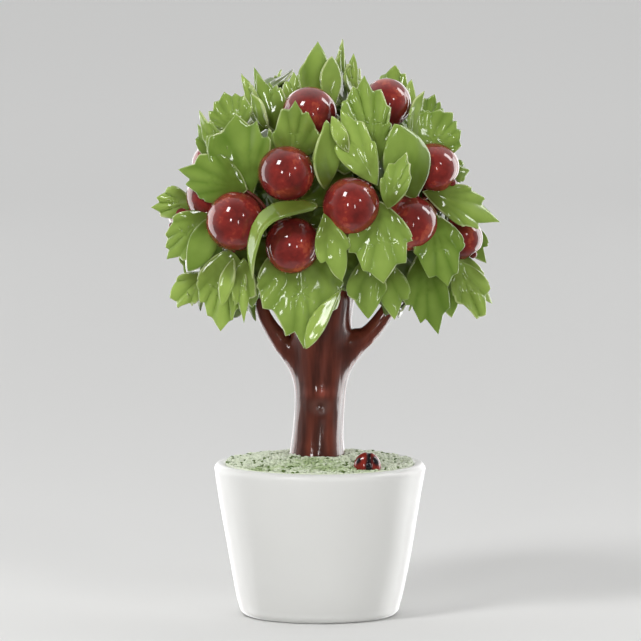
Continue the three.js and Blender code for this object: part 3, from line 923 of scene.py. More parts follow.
def bent_leaf(flat, lift, rim, plan, length):
    """A flat leaf one unit long brought to its length and bent, with foot and tip on one level.

    Its edges turn up with the distance from the middle line, as a share of the half
    width there, and its length slopes more and more towards the tip. Then it is turned
    and scaled so that foot and tip are as far apart as planned.
    """
    order = np.argsort(rim[:, 0])
    reach = np.interp(flat[..., 0], rim[order, 0], np.abs(rim[order, 1]))
    local = np.maximum(smoothed(reach), 0.1 * plan.width / length) * length
    left, right = plan.edges
    share = np.clip(flat[..., 1] * length / local, -EDGE_REACH, EDGE_REACH)
    places = (-EDGE_REACH, -0.5, 0, 0.5, EDGE_REACH)
    y, z, lean = bent_line(share, places, (-right, -0.3 * right, 0, 0.3 * left, left))
    y = y * local - lift * np.sin(lean)
    z = z * local + lift * np.cos(lean)
    stations = np.array((0, 0.3, 0.6, 1)) * length
    slopes = np.array((0, -0.15, -0.85, -1)) * plan.bend
    x, drop, slope = bent_line(flat[..., 0] * length, stations, slopes)
    surface = np.stack([x - z * np.sin(slope), y, drop + z * np.cos(slope)], axis=-1)
    tip_x, tip_drop, _ = bent_line(length, stations, slopes)
    chord = np.array((tip_x, 0, tip_drop)) / length
    reachable = np.linalg.norm(chord)
    chord = chord / reachable
    settle = np.array(((chord[0], 0, chord[2]), (0, 1, 0), (-chord[2], 0, chord[0])))
    return surface @ settle.T / reachable


def leaf_skin(plan, sizes, rng, rings=LEAF_RINGS, columns_each=12, pooling_and_shade=0.0):
    """One leaf of rolled clay, whose rings run from its middle to the rim on top and back underneath.

    The flat leaf is pressed into lobes and bent, and turned so that foot and tip lie
    where they are planned and its face looks the planned way. Half its thickness is
    laid on each side and rounds off at the rim. The last argument is the least share of
    dark olive all over it, a painted shade on leaves deep in the crown.
    """
    columns = columns_each * (plan.teeth + 2)
    side = -1 + 2 * np.arange(columns) / columns
    length = np.linalg.norm(plan.tip - plan.base)
    depth = sizes.tooth_depth * (3 / max(plan.teeth, 3)) ** 0.8
    rim, tooth, angle = leaf_outline(side, plan, plan.width / length, depth, rng)
    rim[:, 1] += LEAF_SWAY * rng.uniform(-1, 1) * np.sin(np.pi * rim[:, 0])
    middle = np.array((0.5, 0.0))
    flat = middle + rings[:, None, None] * (rim - middle)
    inset = (1 - rings[:, None]) * np.linalg.norm(rim - middle, axis=-1) * length

    lobe = pressed_lobes(flat, angle, tooth, plan.teeth)
    sag = ripple(flat, 0.8, rng.integers(1 << 30), 8) * np.hypot(flat[..., 0], flat[..., 1])
    pressed = ripple(flat * np.array((0.5, 1.0)), 0.25, rng.integers(1 << 30), 8)
    lift = plan.flute * lobe + LEAF_SAG * length * sag + PRESSED_DEPTH * pressed
    surface = bent_leaf(flat, lift, rim, plan, length)
    ahead = unit(plan.tip - plan.base)
    up = unit(plan.face - ahead * (plan.face @ ahead))
    turn = np.stack([ahead, np.cross(up, ahead), up])
    surface = surface @ turn + plan.base

    outward = np.gradient(surface, axis=0)
    around = np.roll(surface, -1, axis=1) - np.roll(surface, 1, axis=1)
    normal = unit(np.cross(outward, around))
    half_thick = sizes.leaf_thickness / MM / 2 * np.sqrt(1 - rings**EDGE_ROUNDING)
    thick = normal * half_thick[:, None, None]
    grid = np.concatenate([surface + thick, (surface - thick)[-2::-1]])

    def both_sides(values):
        return np.concatenate([values, values[-2::-1]])

    span = max(np.ptp(rim[:, 1]), 1.0)
    flat_map = np.stack([flat[..., 0], 0.5 + flat[..., 1] / span], axis=-1)
    flat_map = MAP_MARGIN + (1 - 2 * MAP_MARGIN) * np.clip(flat_map, 0, 1)
    # The foot darkens a leaf towards its base, as pooled glaze and as painted shade. The last argument
    # darkens the whole leaf by at least that share.
    foot = np.maximum(1 - smoothstep(flat[..., 0], 0.05, 0.65), pooling_and_shade)
    return make_skin(grid, flat=both_sides(flat_map), inset=both_sides(inset),
                     fold=both_sides(lobe), foot=both_sides(foot), tint=plan.tint)


def leaf_spots(plan):
    """Points spread over a planned leaf, to tell how near it comes to others."""
    ahead = plan.tip - plan.base
    side = unit(np.cross(plan.face, unit(ahead)))
    along = np.array((0.15, 0.4, 0.65, 0.9))[:, None, None]
    across = np.array((-0.34, 0, 0.34))[None, :, None] * plan.width
    bow = 4 * along * (1 - along) * math.radians(plan.bend) * np.linalg.norm(ahead) / 8
    return (plan.base + ahead * along + side * across + unit(plan.face) * bow).reshape(-1, 3)


def placed(plan):
    """A front leaf with its view positions turned into points and its face into a direction."""
    return plan._replace(base=seen_at(*plan.base), tip=seen_at(*plan.tip), face=heading(*plan.face))


def crowding(spots, leaves, apples):
    """How badly a leaf's spots press into apples and other leaves."""
    total = 0.0
    if len(apples):
        gap = np.linalg.norm(spots[:, None] - apples[None, :, :3], axis=-1) - apples[:, 3]
        total += np.clip(APPLE_ROOM - gap, 0, None).sum() * 2
    if len(leaves):
        gap = np.linalg.norm(spots[:, None] - leaves[None], axis=-1)
        total += np.clip(LEAF_ROOM - gap, 0, None).sum()
    return total


def try_outer_leaf(way, rng):
    """A leaf that grows out of the crown at a direction, upwards over its waist and downwards under it."""
    reach = crown_reach(way)
    foot = CROWN_CENTRE + way * reach * rng.uniform(0.62, 0.76)
    rise = 1.0 if way[2] > 0.12 else -1.0
    hang = np.array((rng.normal(0, 0.45), rng.normal(0, 0.45), rise))
    hang = unit(hang - way * (hang @ way))
    out = rng.uniform(0.15, 0.55)
    ahead = unit(hang + out * way)
    length = rng.uniform(34, 46)
    tip = foot + ahead * length
    off = tip - CROWN_CENTRE
    share = np.linalg.norm(off) / crown_reach(unit(off))
    limit = 0.84 + 0.14 * float(smoothstep(abs(way[1]), 0.15, 0.6))
    tip = CROWN_CENTRE + off * min(1.0, limit / share)
    tip[2] = max(tip[2], LOWEST_TIP)
    turned_front = np.array((0, -0.8, 0)) * math.exp(-((way[1] / 0.3) ** 2))
    face = unit(way + 0.4 * np.cross(way, ahead) * rng.normal(0, 0.9) + turned_front)
    return LeafPlan(
        base=foot, tip=tip, width=rng.uniform(22, 31), teeth=int(rng.choice((3, 5, 5, 7))),
        wide=rng.uniform(0.46, 0.58), face=face, bend=rng.uniform(-8, 24),
        edges=(rng.uniform(-20, 35), rng.uniform(-20, 35)), flute=rng.uniform(0.4, 1.4),
        tint=rng.uniform(0.15, 0.9))


def leaf_within(way, depth, tint, rng):
    """A leaf at a share of the crown's depth, facing out, at any turn."""
    centre = CROWN_CENTRE + way * crown_reach(way) * depth
    turn = rng.normal(size=3)
    ahead = unit(turn - way * (turn @ way) + 0.25 * way)
    half = ahead * rng.uniform(17, 21)
    return LeafPlan(
        base=centre - half, tip=centre + half, width=rng.uniform(24, 31), teeth=5, wide=0.5, face=way,
        bend=rng.uniform(0, 20), edges=(rng.uniform(-10, 20), rng.uniform(-10, 20)), flute=1.0, tint=tint)


def try_filling_leaf(way, rng):
    """A leaf just under the planned front leaves, which closes the view between them. Its dark tint is
    painted shade.
    """
    return leaf_within(way, rng.uniform(0.62, 0.8), rng.uniform(0.0, 0.25), rng)


def try_inner_leaf(way, rng):
    """A leaf deep in the crown, whose dark tint is painted shade."""
    return leaf_within(way, rng.uniform(0.45, 0.72), rng.uniform(0.0, 0.3), rng)


def in_hollow(spots):
    """Whether any of a leaf's spots lies in the open hollow under the crown."""
    return ((((spots - HOLLOW_CENTRE) / HOLLOW_SIZE) ** 2).sum(axis=-1) < 1).any()


def hangs_low(spots):
    """Whether a leaf's spots reach down to the crown's lowest tips."""
    return spots[:, 2].min() < LOWEST_TIP + SKIRT_MARGIN


def sticks_out(spots):
    """Whether a leaf's spots come too near the crown's outline, more strictly near its middle plane."""
    off = spots - CROWN_CENTRE
    share = np.linalg.norm(off, axis=-1) / crown_reach(unit(off))
    return (share > SIDE_LIMIT + DEPTH_SPARE * smoothstep(np.abs(spots[:, 1]), 15, 50)).any()


def before_front(spots, front):
    """Whether a leaf's spots come out in front of the planned front leaves.

    For each spot, the planned spots that the front view shows near it must all be
    nearer to the viewer by the clearance.
    """
    across = spots[:, None, 0] - front[None, :, 0]
    up = spots[:, None, 2] - front[None, :, 2]
    beside = np.hypot(across, up) < FRONT_NEARNESS
    covered = np.where(beside, front[None, :, 1], -np.inf).max(axis=1)
    return (spots[:, 1] < covered + FRONT_CLEARANCE).any()


def grow(ways, attempt, allowed, leaves, apples, rng, tries=26):
    """For each allowed direction, tries seeded leaves and keeps the one that crowds the others least.

    None may lie in the hollow, hang low, stick out or come out in front of the planned
    leaves.
    """
    grown = []
    spots = [leaf_spots(leaf) for leaf in leaves]
    front = np.concatenate(spots[:len(FRONT_LEAVES)])
    for way in ways:
        if not allowed(way):
            continue
        options = []
        for leaf in [attempt(way, rng) for _ in range(tries)]:
            tried = leaf_spots(leaf)
            if in_hollow(tried) or hangs_low(tried) or sticks_out(tried) or before_front(tried, front):
                continue
            options.append(leaf)
        if not options:
            continue
        others = np.concatenate(spots)
        best = min(options, key=lambda leaf: crowding(leaf_spots(leaf), others, apples))
        grown.append(best)
        spots.append(leaf_spots(best))
    return grown


def behind_front(way):
    """True for directions that the planned front leaves don't cover, and not straight down into the fork."""
    point = CROWN_CENTRE + way * crown_reach(way)
    return point[1] > FRONT_DEPTH and way[2] > -0.72


def under_front(way):
    """True for directions under the planned front leaves."""
    return way[2] > -0.6 and way[1] < 0.1


def anywhere(way):
    """True for every direction."""
    return True


def plan_apples(sizes, rng):
    """The front apples, and more towards the back, as x, y, z and radius.

    Seeded places a little inside the outline are taken in turn if they keep clear of
    the apples already there.
    """
    apples = [(*seen_at(*plan[:3]), plan[3]) for plan in FRONT_APPLES]
    radius = sizes.apple_radius / MM
    ways = spiral(APPLE_PLACES)[rng.permutation(APPLE_PLACES)]
    wanted = len(apples) + sizes.apples_behind
    for way in ways:
        spot = CROWN_CENTRE + way * crown_reach(way) * APPLE_SHARE
        seen = math.hypot((spot[0] - CROWN_CENTRE[0]) / CROWN_RADIUS, way[2])
        if spot[1] < APPLE_BACK or way[2] < -0.4 or seen > 0.62:
            continue
        size = radius * rng.uniform(0.93, 1.07)
        gaps = [np.linalg.norm(spot - other[:3]) for other in np.array(apples)]
        if min(gaps) > 2 * radius + APPLE_GAP and len(apples) < wanted:
            apples.append((*spot, size))
    return np.array(apples)


def plan_crown(sizes):
    """All apples and leaves of the crown."""
    rng = np.random.default_rng(sizes.seed)
    apples = plan_apples(sizes, rng)
    front = [placed(plan) for plan in FRONT_LEAVES]
    outer = grow(spiral(sizes.outer_leaves), try_outer_leaf, behind_front, front, apples, rng)
    near = grow(spiral(sizes.inner_leaves), try_filling_leaf, under_front, front + outer, apples, rng, 20)
    deep = grow(spiral(sizes.inner_leaves), try_inner_leaf, anywhere, front + outer + near, apples, rng, 14)
    return apples, front + outer, near + deep


def mass_point(mass, reach=1.0, drop=0.0):
    """A point at a share of the way from the crown's line to the middle of a mass, and lower by the drop."""
    height, distance, azimuth = mass
    turn = math.radians(azimuth)
    out = reach * distance
    return np.array((CROWN_CENTRE[0] + out * math.cos(turn), out * math.sin(turn), height - drop))


def mass_of(leaf):
    """Name of the mass of leaves whose middle is nearest to a leaf's."""
    centres = np.array([mass_point(mass) for mass in MASSES.values()])
    middle = (leaf.base + leaf.tip) / 2
    return list(MASSES)[int(np.argmin(np.linalg.norm(centres - middle, axis=-1)))]


# ------------------------------------------------------------- apples and twigs

# An apple: its unevenness, the depth of its dimple and the place of the knob in it
# as shares of its radius, and the knob's half sizes.
APPLE_UNEVENNESS = 0.022
DIMPLE_DEPTH = 0.09
KNOB_PLACE = 0.94
KNOB_SIZE = (2.1, 2.1, 1.9)

# Inner boughs: how far they reach towards the middle of each mass, how far under it
# they end, and their radius at both ends. Twigs: the points along one, the number
# of the point where a later one may leave it, and the widest leaf that has none.
BOUGH_REACH = 0.42
BOUGH_DROP = 4
BOUGH_RADII = (3.2, 1.9)
TWIG_POINTS = 7
FORK_POINT = 3
TWIGLESS_WIDTH = 19.5


def ball(rings, columns):
    """Directions over a ball in rings from its upper pole down, their angle from that pole, and a flat map.

    The map shows each half of the ball as a disc.
    """
    tilt = np.linspace(0, np.pi, rings + 2)[1:-1, None]
    turn = np.linspace(0, 2 * np.pi, columns, endpoint=False)[None]
    east, north = np.cos(turn), np.sin(turn)
    way = np.stack([np.sin(tilt) * east, np.sin(tilt) * north, np.cos(tilt) + 0 * turn], axis=-1)
    share = np.where(tilt < np.pi / 2, tilt, np.pi - tilt) / (np.pi / 2)
    flat = 0.5 + 0.47 * share[..., None] * np.stack([east, north], axis=-1)
    return way, tilt, flat


def apple_skins(centre, radius, calyx, rng):
    """A hand-rolled apple: a slightly uneven ball, dimpled at its calyx end, with a small knob there."""
    way, tilt, flat = ball(25, 40)
    uneven = 1 + APPLE_UNEVENNESS * ripple(way, 2.4, rng.integers(1 << 30), 8)
    size = radius * uneven * (1 - DIMPLE_DEPTH * np.exp(-((tilt / 0.3) ** 2)))
    side = unit(np.cross((0.1, 0, 1), calyx))
    turn = np.stack([side, np.cross(calyx, side), calyx])
    grid = centre + (way * size[..., None]) @ turn
    apple = make_skin(grid, flat=flat, eye=np.exp(-((tilt / 0.2) ** 2)))
    way, tilt, flat = ball(9, 14)
    knob = centre + calyx * radius * KNOB_PLACE + way * KNOB_SIZE @ turn
    return [apple, make_skin(knob, flat=flat, eye=0.35)]


def limb_ends():
    """The places where inner boughs start: the tips of the limbs and points up the trunk."""
    tips = [LIMBS[name][-1][:3] for name in ("bough_left", "bough_right", "bough_back")]
    return np.array([*tips, *LEADER_STARTS], float)


def branch(start, end, thick, thin, rng, count=9):
    """A route between two points, thinning along its length, that arches upwards with a slight wander."""
    middle = (start + end) / 2 + np.array((0, 0, 0.12 * np.linalg.norm(end - start))) + rng.normal(0, 1.2, 3)
    line = smooth_line([start, middle, end], count)
    return np.column_stack([line, np.linspace(thick, thin, count)])


def branch_skins(apples, leaves, sizes, rng):
    """Inner boughs towards the middle of each mass, and a twig to each apple and each leaf's foot.

    Boughs start at the nearest tip of a limb or point up the trunk. Narrow leaves lie on
    others and have no twig. The twigs' ends are taken from the crown's middle outwards,
    and each twig leaves the nearest joint already there: a bough's end or a point of an
    earlier twig.
    """
    starts = limb_ends()
    twig = sizes.twig_radius / MM
    plain = {"ridge": 0.3, "rub": 0.0, "scar": 0.0, "pupil": 0.0}
    joints, skins = [], []
    for mass in MASSES.values():
        hub = mass_point(mass, BOUGH_REACH, BOUGH_DROP)
        start = starts[np.argmin(np.linalg.norm(starts - hub, axis=-1))]
        skins.append(tube(branch(start, hub, *BOUGH_RADII, rng), 10, **plain))
        joints.append(hub)
    ends = []
    for leaf in leaves:
        if leaf.width > TWIGLESS_WIDTH:
            ends.append((leaf.base + 0.1 * (leaf.tip - leaf.base) - 1.4 * unit(leaf.face), twig))
    ends += [(apple[:3], 1.2 * twig) for apple in apples]
    ends.sort(key=lambda item: np.linalg.norm(item[0] - CROWN_CENTRE))
    for end, radius in ends:
        nearest = joints[int(np.argmin(np.linalg.norm(np.array(joints) - end, axis=-1)))]
        route = branch(nearest, end, 1.5 * radius, radius, rng, TWIG_POINTS)
        skins.append(tube(route, 7, **plain))
        joints.append(route[FORK_POINT, :3])
    return skins


# ------------------------------------------------------------- trunk and boughs


def limb_distance(points, line):
    """Distance from each point to the skin of a limb, and the way out from its line there.

    It is the distance to the nearest place on the straight stretches of the line, less
    the radius at that place.
    """
    start, end = line[:-1], line[1:]
    run = (end - start)[:, :3]
    off = points[:, None] - start[None, :, :3]
    share = np.clip((off * run).sum(-1) / (run**2).sum(-1), 0, 1)
    out = off - share[..., None] * run
    far = np.linalg.norm(out, axis=-1)
    gap = far - (start[:, 3] + share * (end - start)[:, 3])
    nearest = np.argmin(gap, axis=1)[:, None]
    out = np.take_along_axis(out, nearest[..., None], axis=1)[:, 0]
    return np.take_along_axis(gap, nearest, axis=1)[:, 0], unit(out)


def blended(points, lines, softness):
    """Distance to the skin that runs smoothly over all limbs, a soft least of theirs, and its way out."""
    gaps, ways = zip(*(limb_distance(points, line) for line in lines))
    gaps, ways = np.array(gaps), np.array(ways)
    least = gaps.min(axis=0)
    weight = np.exp(-(gaps - least) / softness)
    total = weight.sum(axis=0)
    way = (ways * weight[..., None]).sum(axis=0) / total[:, None]
    return least - softness * np.log(total), way


def bark_relief(points, line):
    """How far the bark stands out at each point, and its marks: ridge, rubbed place, scar and eye.

    Broad soft ridges, a cosine of the turn round the trunk, and faint finer lines run
    along it. The healed knot is smoother and sunk, with a raised rim, a small pressed
    eye and a brow over it: bell curves about its outline, its middle and a bent line
    above it.
    """
    middle = np.interp(points[:, 2], line[:, 2], line[:, 0])
    turn = np.arctan2(points[:, 1], points[:, 0] - middle)
    height = points[:, 2]
    sway = 0.25 * np.sin(height / 17) + 0.12 * np.sin(height / 7 + 1)
    broad = np.cos(7 * (turn + 0.4 * sway) + 0.6)
    around = np.stack([np.cos(turn), np.sin(turn), height / 75], axis=-1)
    fine = ripple(around, 0.42, 5)
    finest = ripple(around, 0.17, 6)
    lift = 0.12 * broad + 0.05 * fine + 0.015 * finest - 0.17
    across, up = points[:, 0] - KNOT_CENTRE[0], points[:, 2] - KNOT_CENTRE[1]
    x, z = across / KNOT_SIZE[0], up / KNOT_SIZE[1]
    front = points[:, 1] < 0
    from_eye = np.hypot(x, z)
    scar = np.where(front, np.exp(-((from_eye - 1.0) / 0.25) ** 2), 0)
    brow = np.where(front, np.exp(-((x / 0.9) ** 2)) * np.exp(-(((z - 1.5 + 0.1 * x**2) / 0.6) ** 2)), 0)
    face = np.where(front, np.exp(-((from_eye / 0.9) ** 4)), 0)
    eye = np.where(front, np.exp(-((np.hypot(across, up) / KNOT_EYE) ** 4)), 0)
    lift = lift * (1 - 0.8 * face) + 0.15 * scar + 0.8 * brow - 0.15 * face - 0.5 * eye
    return lift, {"ridge": np.clip(0.5 * broad + 0.5 * fine, -1, 1), "rub": brow, "scar": face, "pupil": eye}


def limb_mesh():
    """The trunk and its three boughs as one skin.

    Tubes are fused by a voxel remesh. Then each point is moved onto the skin that runs
    smoothly over all of them, and out by the bark's relief.
    """
    lines = [smooth_line(route, 40) for route in LIMBS.values()]
    holder = add_object("limb_tubes", build_mesh("limb_tubes", [tube(line, 36) for line in lines]))
    fuse = holder.modifiers.new("Fuse", "REMESH")
    fuse.mode = "VOXEL"
    fuse.voxel_size = LIMB_VOXEL * MM
    whole = bpy.data.meshes.new_from_object(holder.evaluated_get(bpy.context.evaluated_depsgraph_get()))
    bpy.data.objects.remove(holder)
    points = np.zeros(len(whole.vertices) * 3, np.float32)
    whole.vertices.foreach_get("co", points)
    points = points.reshape(-1, 3).astype(float) / MM
    for _ in range(4):
        gap, way = blended(points, lines, CROTCH_SOFTNESS)
        points = points - way * gap[:, None]
    lift, marks = bark_relief(points, lines[0])
    _, way = blended(points, lines, CROTCH_SOFTNESS)
    points = points + unit(way) * lift[:, None]
    points[:, 2] = np.maximum(points[:, 2], GROUND_CREST - TRUNK_SINK)
    whole.vertices.foreach_set("co", (points * MM).astype(np.float32).ravel())
    mark_points(whole, marks)
    whole.polygons.foreach_set("use_smooth", np.ones(len(whole.polygons), bool))
    whole.update()
    return whole


# -------------------------------------------------------- pot, ground, ladybird


def pot_radius(height):
    """Outer radius of the pot at a height: from foot to rim with a slight bulge."""
    share = (height - FOOT_CORNER) / (POT_HEIGHT - WALL / 2 - FOOT_CORNER)
    return FOOT_RADIUS + (RIM_RADIUS - FOOT_RADIUS) * np.clip(share, 0, None) ** BULGE


def pot_skin():
    """The pot, a turned profile with the slight unevenness of a cast.

    The profile runs up the inside from the floor, over the round rim, down the outside
    and under the foot.
    """
    rim_height = POT_HEIGHT - WALL / 2
    inner_heights = np.linspace(FLOOR + 1.5, rim_height, 30)
    outer_heights = np.linspace(rim_height, FOOT_CORNER, 56)
    inner = np.stack([pot_radius(inner_heights) - WALL, inner_heights], axis=-1)
    outer = np.stack([pot_radius(outer_heights), outer_heights], axis=-1)
    inner_floor = [(share * (inner[0][0] - 1.5), FLOOR) for share in (0.2, 0.5, 0.8, 1.0)]
    rim = corner((RIM_RADIUS - WALL / 2, rim_height), WALL / 2, 180, 0, 15)
    foot = corner((FOOT_RADIUS - FOOT_CORNER, FOOT_CORNER), FOOT_CORNER, 0, -90, 9)
    under = [(share * foot[-1][0], 0.0) for share in (0.97, 0.6, 0.25)]
    profile = np.vstack([inner_floor, inner, rim[1:-1], outer, foot[1:], under])
    grid = turned(profile, 192)
    round_way = unit(grid * np.array((1, 1, 0)))
    wander = CAST_UNEVENNESS * ripple(grid, 55, 3) * smoothstep(grid[..., 2], 0.5, 14)
    wander = wander * (1 - smoothstep(grid[..., 2], POT_HEIGHT - 2.5, POT_HEIGHT))
    grid = grid + round_way * (wander[..., None] - CAST_UNEVENNESS)
    return make_skin(grid, (0, 0, FLOOR), (0, 0, 0))


def ground_height(radius):
    """Height of the mound at a distance from the pot's axis."""
    edge = pot_radius(GROUND_EDGE) - WALL - GAP
    share = smoothstep(radius, GROUND_SEAT, edge)
    return GROUND_CREST + (GROUND_EDGE - GROUND_CREST) * share


def mossy(x, y):
    """How green the ground is at a place: the sum of bell curves, one over each patch of moss."""
    return sum(np.exp(-(((x - a) / c) ** 2) - ((y - b) / d) ** 2) for a, b, c, d in MOSS)


def ground_swell(places):
    """Height of the ground's long low swells."""
    height, wavelength = SWELL_RELIEF
    return height * ripple(places, wavelength, GROUND_SEED + 2)


def ground_skin():
    """The filling: its crumbly top from the middle out, then down the inside of the pot to its floor."""
    edge = pot_radius(POT_HEIGHT - WALL / 2) - WALL + 0.4
    radius = np.linspace(1.0, edge, 74)
    top = np.stack([radius, ground_height(radius)], axis=-1)
    side_heights = np.array((GROUND_EDGE - 1.5, 60.0, 35.0, FLOOR + 4, FLOOR + GAP))
    side = np.stack([pot_radius(side_heights) - WALL - GAP, side_heights], axis=-1)
    under = [(share * side[-1][0], FLOOR + GAP) for share in (0.7, 0.3)]
    grid = turned(np.vstack([top, side, under]), 300)
    free = np.zeros(len(grid))
    free[:len(top)] = 1 - smoothstep(radius, edge - 1.0, edge)
    places = grid[..., :2]
    crumb = sum(height * ripple(places, wavelength, GROUND_SEED + number, 20)
                for number, (height, wavelength) in enumerate(CRUMBLY_RELIEF))
    grid[..., 2] += (crumb + ground_swell(places)) * free[:, None]
    dark = smoothstep(ripple(places, 3.2, GROUND_SEED + 3, 20), 1.1, 1.7)
    dark = np.maximum(dark, 0.6 * mossy(grid[..., 0], grid[..., 1])) * free[:, None]
    return make_skin(grid, (0, 0, GROUND_CREST), (0, 0, FLOOR + GAP), dark=dark)


def crumb_skins(sizes, rng):
    """Crumbs strewn over the ground: small uneven lumps with a ring over and a ring under the middle.

    A few large ones are dark, and in the mossy patches most are green.
    """
    edge = pot_radius(POT_HEIGHT - WALL / 2) - WALL - 0.3
    count = sizes.crumbs
    radius = edge * np.sqrt(rng.uniform(0.06, 1, count))
    turn = rng.uniform(0, 2 * np.pi, count)
    x, y = radius * np.cos(turn), radius * np.sin(turn)
    size = sizes.crumb_size / MM * rng.uniform(0.55, 1.5, count)
    fleck = rng.uniform(size=count) < DARK_CRUMBS
    size = np.where(fleck, 1.35 * sizes.crumb_size / MM, size)
    green = np.clip(mossy(x, y), 0, 1) * rng.uniform(0.25, 0.85, count)
    dark = np.where(fleck, rng.uniform(0.9, 1.0, count), green)
    centres = np.stack([x, y, ground_height(radius) + 0.25 * size], axis=-1)
    centres[:, 2] += ground_swell(centres[:, :2]) + 0.2
    ring_turn = np.linspace(0, 2 * np.pi, 5, endpoint=False)
    skins = []
    for centre, radius_of, darkness in zip(centres, size, dark):
        shape = rng.uniform(0.7, 1.3, (2, 5))
        stretch = unit(rng.normal(size=3)) * rng.uniform(0, 0.7)
        grid = np.stack([
            np.stack([np.cos(ring_turn), np.sin(ring_turn), np.full(5, 0.42)], axis=-1),
            np.stack([np.cos(ring_turn + 0.6), np.sin(ring_turn + 0.6), np.full(5, -0.42)], axis=-1),
        ]) * shape[..., None]
        grid = grid + (grid @ stretch)[..., None] * stretch
        skins.append(make_skin(centre + grid * radius_of, centre + (0, 0, 0.8 * radius_of),
                               centre - (0, 0, 0.8 * radius_of), dark=darkness))
    return skins


def ladybird_skins():
    """The ladybird: a body pinched along the seam of its wing cases, with raised round spots, and a head."""
    way, _, _ = ball(41, 64)
    seam = np.exp(-(((way[..., 0] - 0.1) / 0.16) ** 2))
    black = np.exp(-(((way[..., 0] - 0.12) / (0.3 - 0.12 * way[..., 2])) ** 4))
    lift = np.zeros(seam.shape)
    for side, height, size in ((-0.63, 0.5, 0.25), (0.6, 0.5, 0.36)):
        spot = unit((side, -math.sqrt(max(1 - side**2 - height**2, 0.02)), height))
        for centre in (spot, spot * np.array((1, -1, 1))):
            near = np.exp(-((np.linalg.norm(way - centre, axis=-1) / size) ** 6))
            black = np.maximum(black, near)
            lift = np.maximum(lift, near)
    size = (1 - 0.08 * seam + 0.035 * lift)[..., None] * LADYBIRD_SIZE
    body = make_skin(LADYBIRD_SEAT + way * size, black=black)
    head_centre = LADYBIRD_SEAT + np.array((0.6, -4.0, 1.6))
    head = make_skin(head_centre + way * np.array((1.7, 1.8, 2.1)), black=1.0)
    return [body, head]


# ------------------------------------------------------------------- operators


def settings():
    """The sizes, the colours and the studio that the scene holds."""
    scene = bpy.context.scene
    return scene.clay_tree_sizes, scene.clay_tree_colours, scene.clay_tree_studio


class CLAYTREE_OT_stage(bpy.types.Operator):
    """Makes the camera, the pale floor, the white surround and the lamps"""

    bl_idname = "clay_tree.stage"
    bl_label = "Stage"

    def execute(self, context):
        _, _, studio = settings()
        add_camera()
        add_floor(studio)
        add_surround(studio)
        add_lamps(studio)
        context.scene.view_settings.view_transform = "Standard"
        return {"FINISHED"}


def add_camera():
    """A long lens on the front, far away and a little above."""
    data = bpy.data.cameras.new("camera")
    data.sensor_width = SENSOR
    data.lens = SENSOR * VIEW_DISTANCE / VIEW_WIDTH
    data.clip_end = 100
    camera = add_object("camera", data)
    tilt = math.radians(VIEW_HEIGHT_ANGLE)
    back = np.array((0, -math.cos(tilt), math.sin(tilt)))
    camera.location = (VIEW_TARGET + VIEW_DISTANCE * back) * MM
    camera.rotation_euler = (math.pi / 2 - tilt, 0, 0)
    bpy.context.scene.camera = camera


# The floor: its radius in millimetres and the number of its sides, and in metres
# the distances over which it turns paler, a painted brightening that makes up for the
# lamps' light falling off, and those over which it fades out.
FLOOR_RADIUS = 60000.0
FLOOR_SIDES = 96
FLOOR_PAINTED_BRIGHTENING = (0.3, 3.0)
FLOOR_FADING = (4.0, 11.5)


def add_floor(studio):
    """A wide flat disc under the pot, painted paler away from the lamps to make up for their light falling
    off, that fades into the surround far away.
    """
    mesh = bpy.data.meshes.new("floor")
    turn = np.linspace(0, 2 * np.pi, FLOOR_SIDES, endpoint=False)
    points = np.stack([FLOOR_RADIUS * np.cos(turn), FLOOR_RADIUS * np.sin(turn), 0 * turn], axis=-1) * MM
    mesh.from_pydata(points.tolist(), [], [list(range(FLOOR_SIDES))])
    floor = add_object("floor", mesh)
    material, desk, shader = start_glaze("Floor paper")
    place = desk.place()
    grain = desk.noise(place, 900.0, 3.0)
    pale = tuple(studio.floor_colour)
    near = desk.mix(grain, tuple(0.985 * share for share in pale), pale)
    distance = desk.add("ShaderNodeVectorMath", {0: place}, operation="LENGTH").outputs["Value"]
    colour = desk.mix(desk.ease(distance, *FLOOR_PAINTED_BRIGHTENING), near, tuple(studio.floor_far_painted_bright))
    desk.feed(shader.inputs["Base Color"], colour)
    desk.feed(shader.inputs["Alpha"], desk.ease(distance, *FLOOR_FADING, 1.0, 0.0))
    desk.feed(shader.inputs["Roughness"], 0.85)
    desk.feed(shader.inputs["Specular IOR Level"], 0.2)
    mesh.materials.append(material)
    floor.visible_glossy = False


def add_surround(studio):
    """A white tent all round, dark in front where it is open for the camera, and a table's edge below.

    The glazes mirror this surround also where it lies under the floor.
    """
    world = bpy.data.worlds.new("surround")
    bpy.context.scene.world = world
    world.use_nodes = True
    world.node_tree.nodes.clear()
    desk = Desk(world.node_tree)
    way = desk.add("ShaderNodeTexCoord").outputs["Generated"]
    parts = desk.add("ShaderNodeSeparateXYZ", {"Vector": way}).outputs
    tent = desk.ease(parts["Y"], -0.6, 0.4, studio.front_share, 1.0)
    tent = desk.maths("MULTIPLY", tent, desk.ease(parts["Z"], -0.6, 0.0, 0.5, 1.0))
    table = desk.ease(parts["Z"], -0.94, -0.84, 0.5, 0.0)
    level = desk.maths("MULTIPLY", desk.maths("MAXIMUM", tent, table), studio.surround)
    background = desk.add("ShaderNodeBackground", {"Color": (1.0, 1.0, 1.0, 1.0), "Strength": level})
    desk.add("ShaderNodeOutputWorld", {"Surface": background.outputs["Background"]})


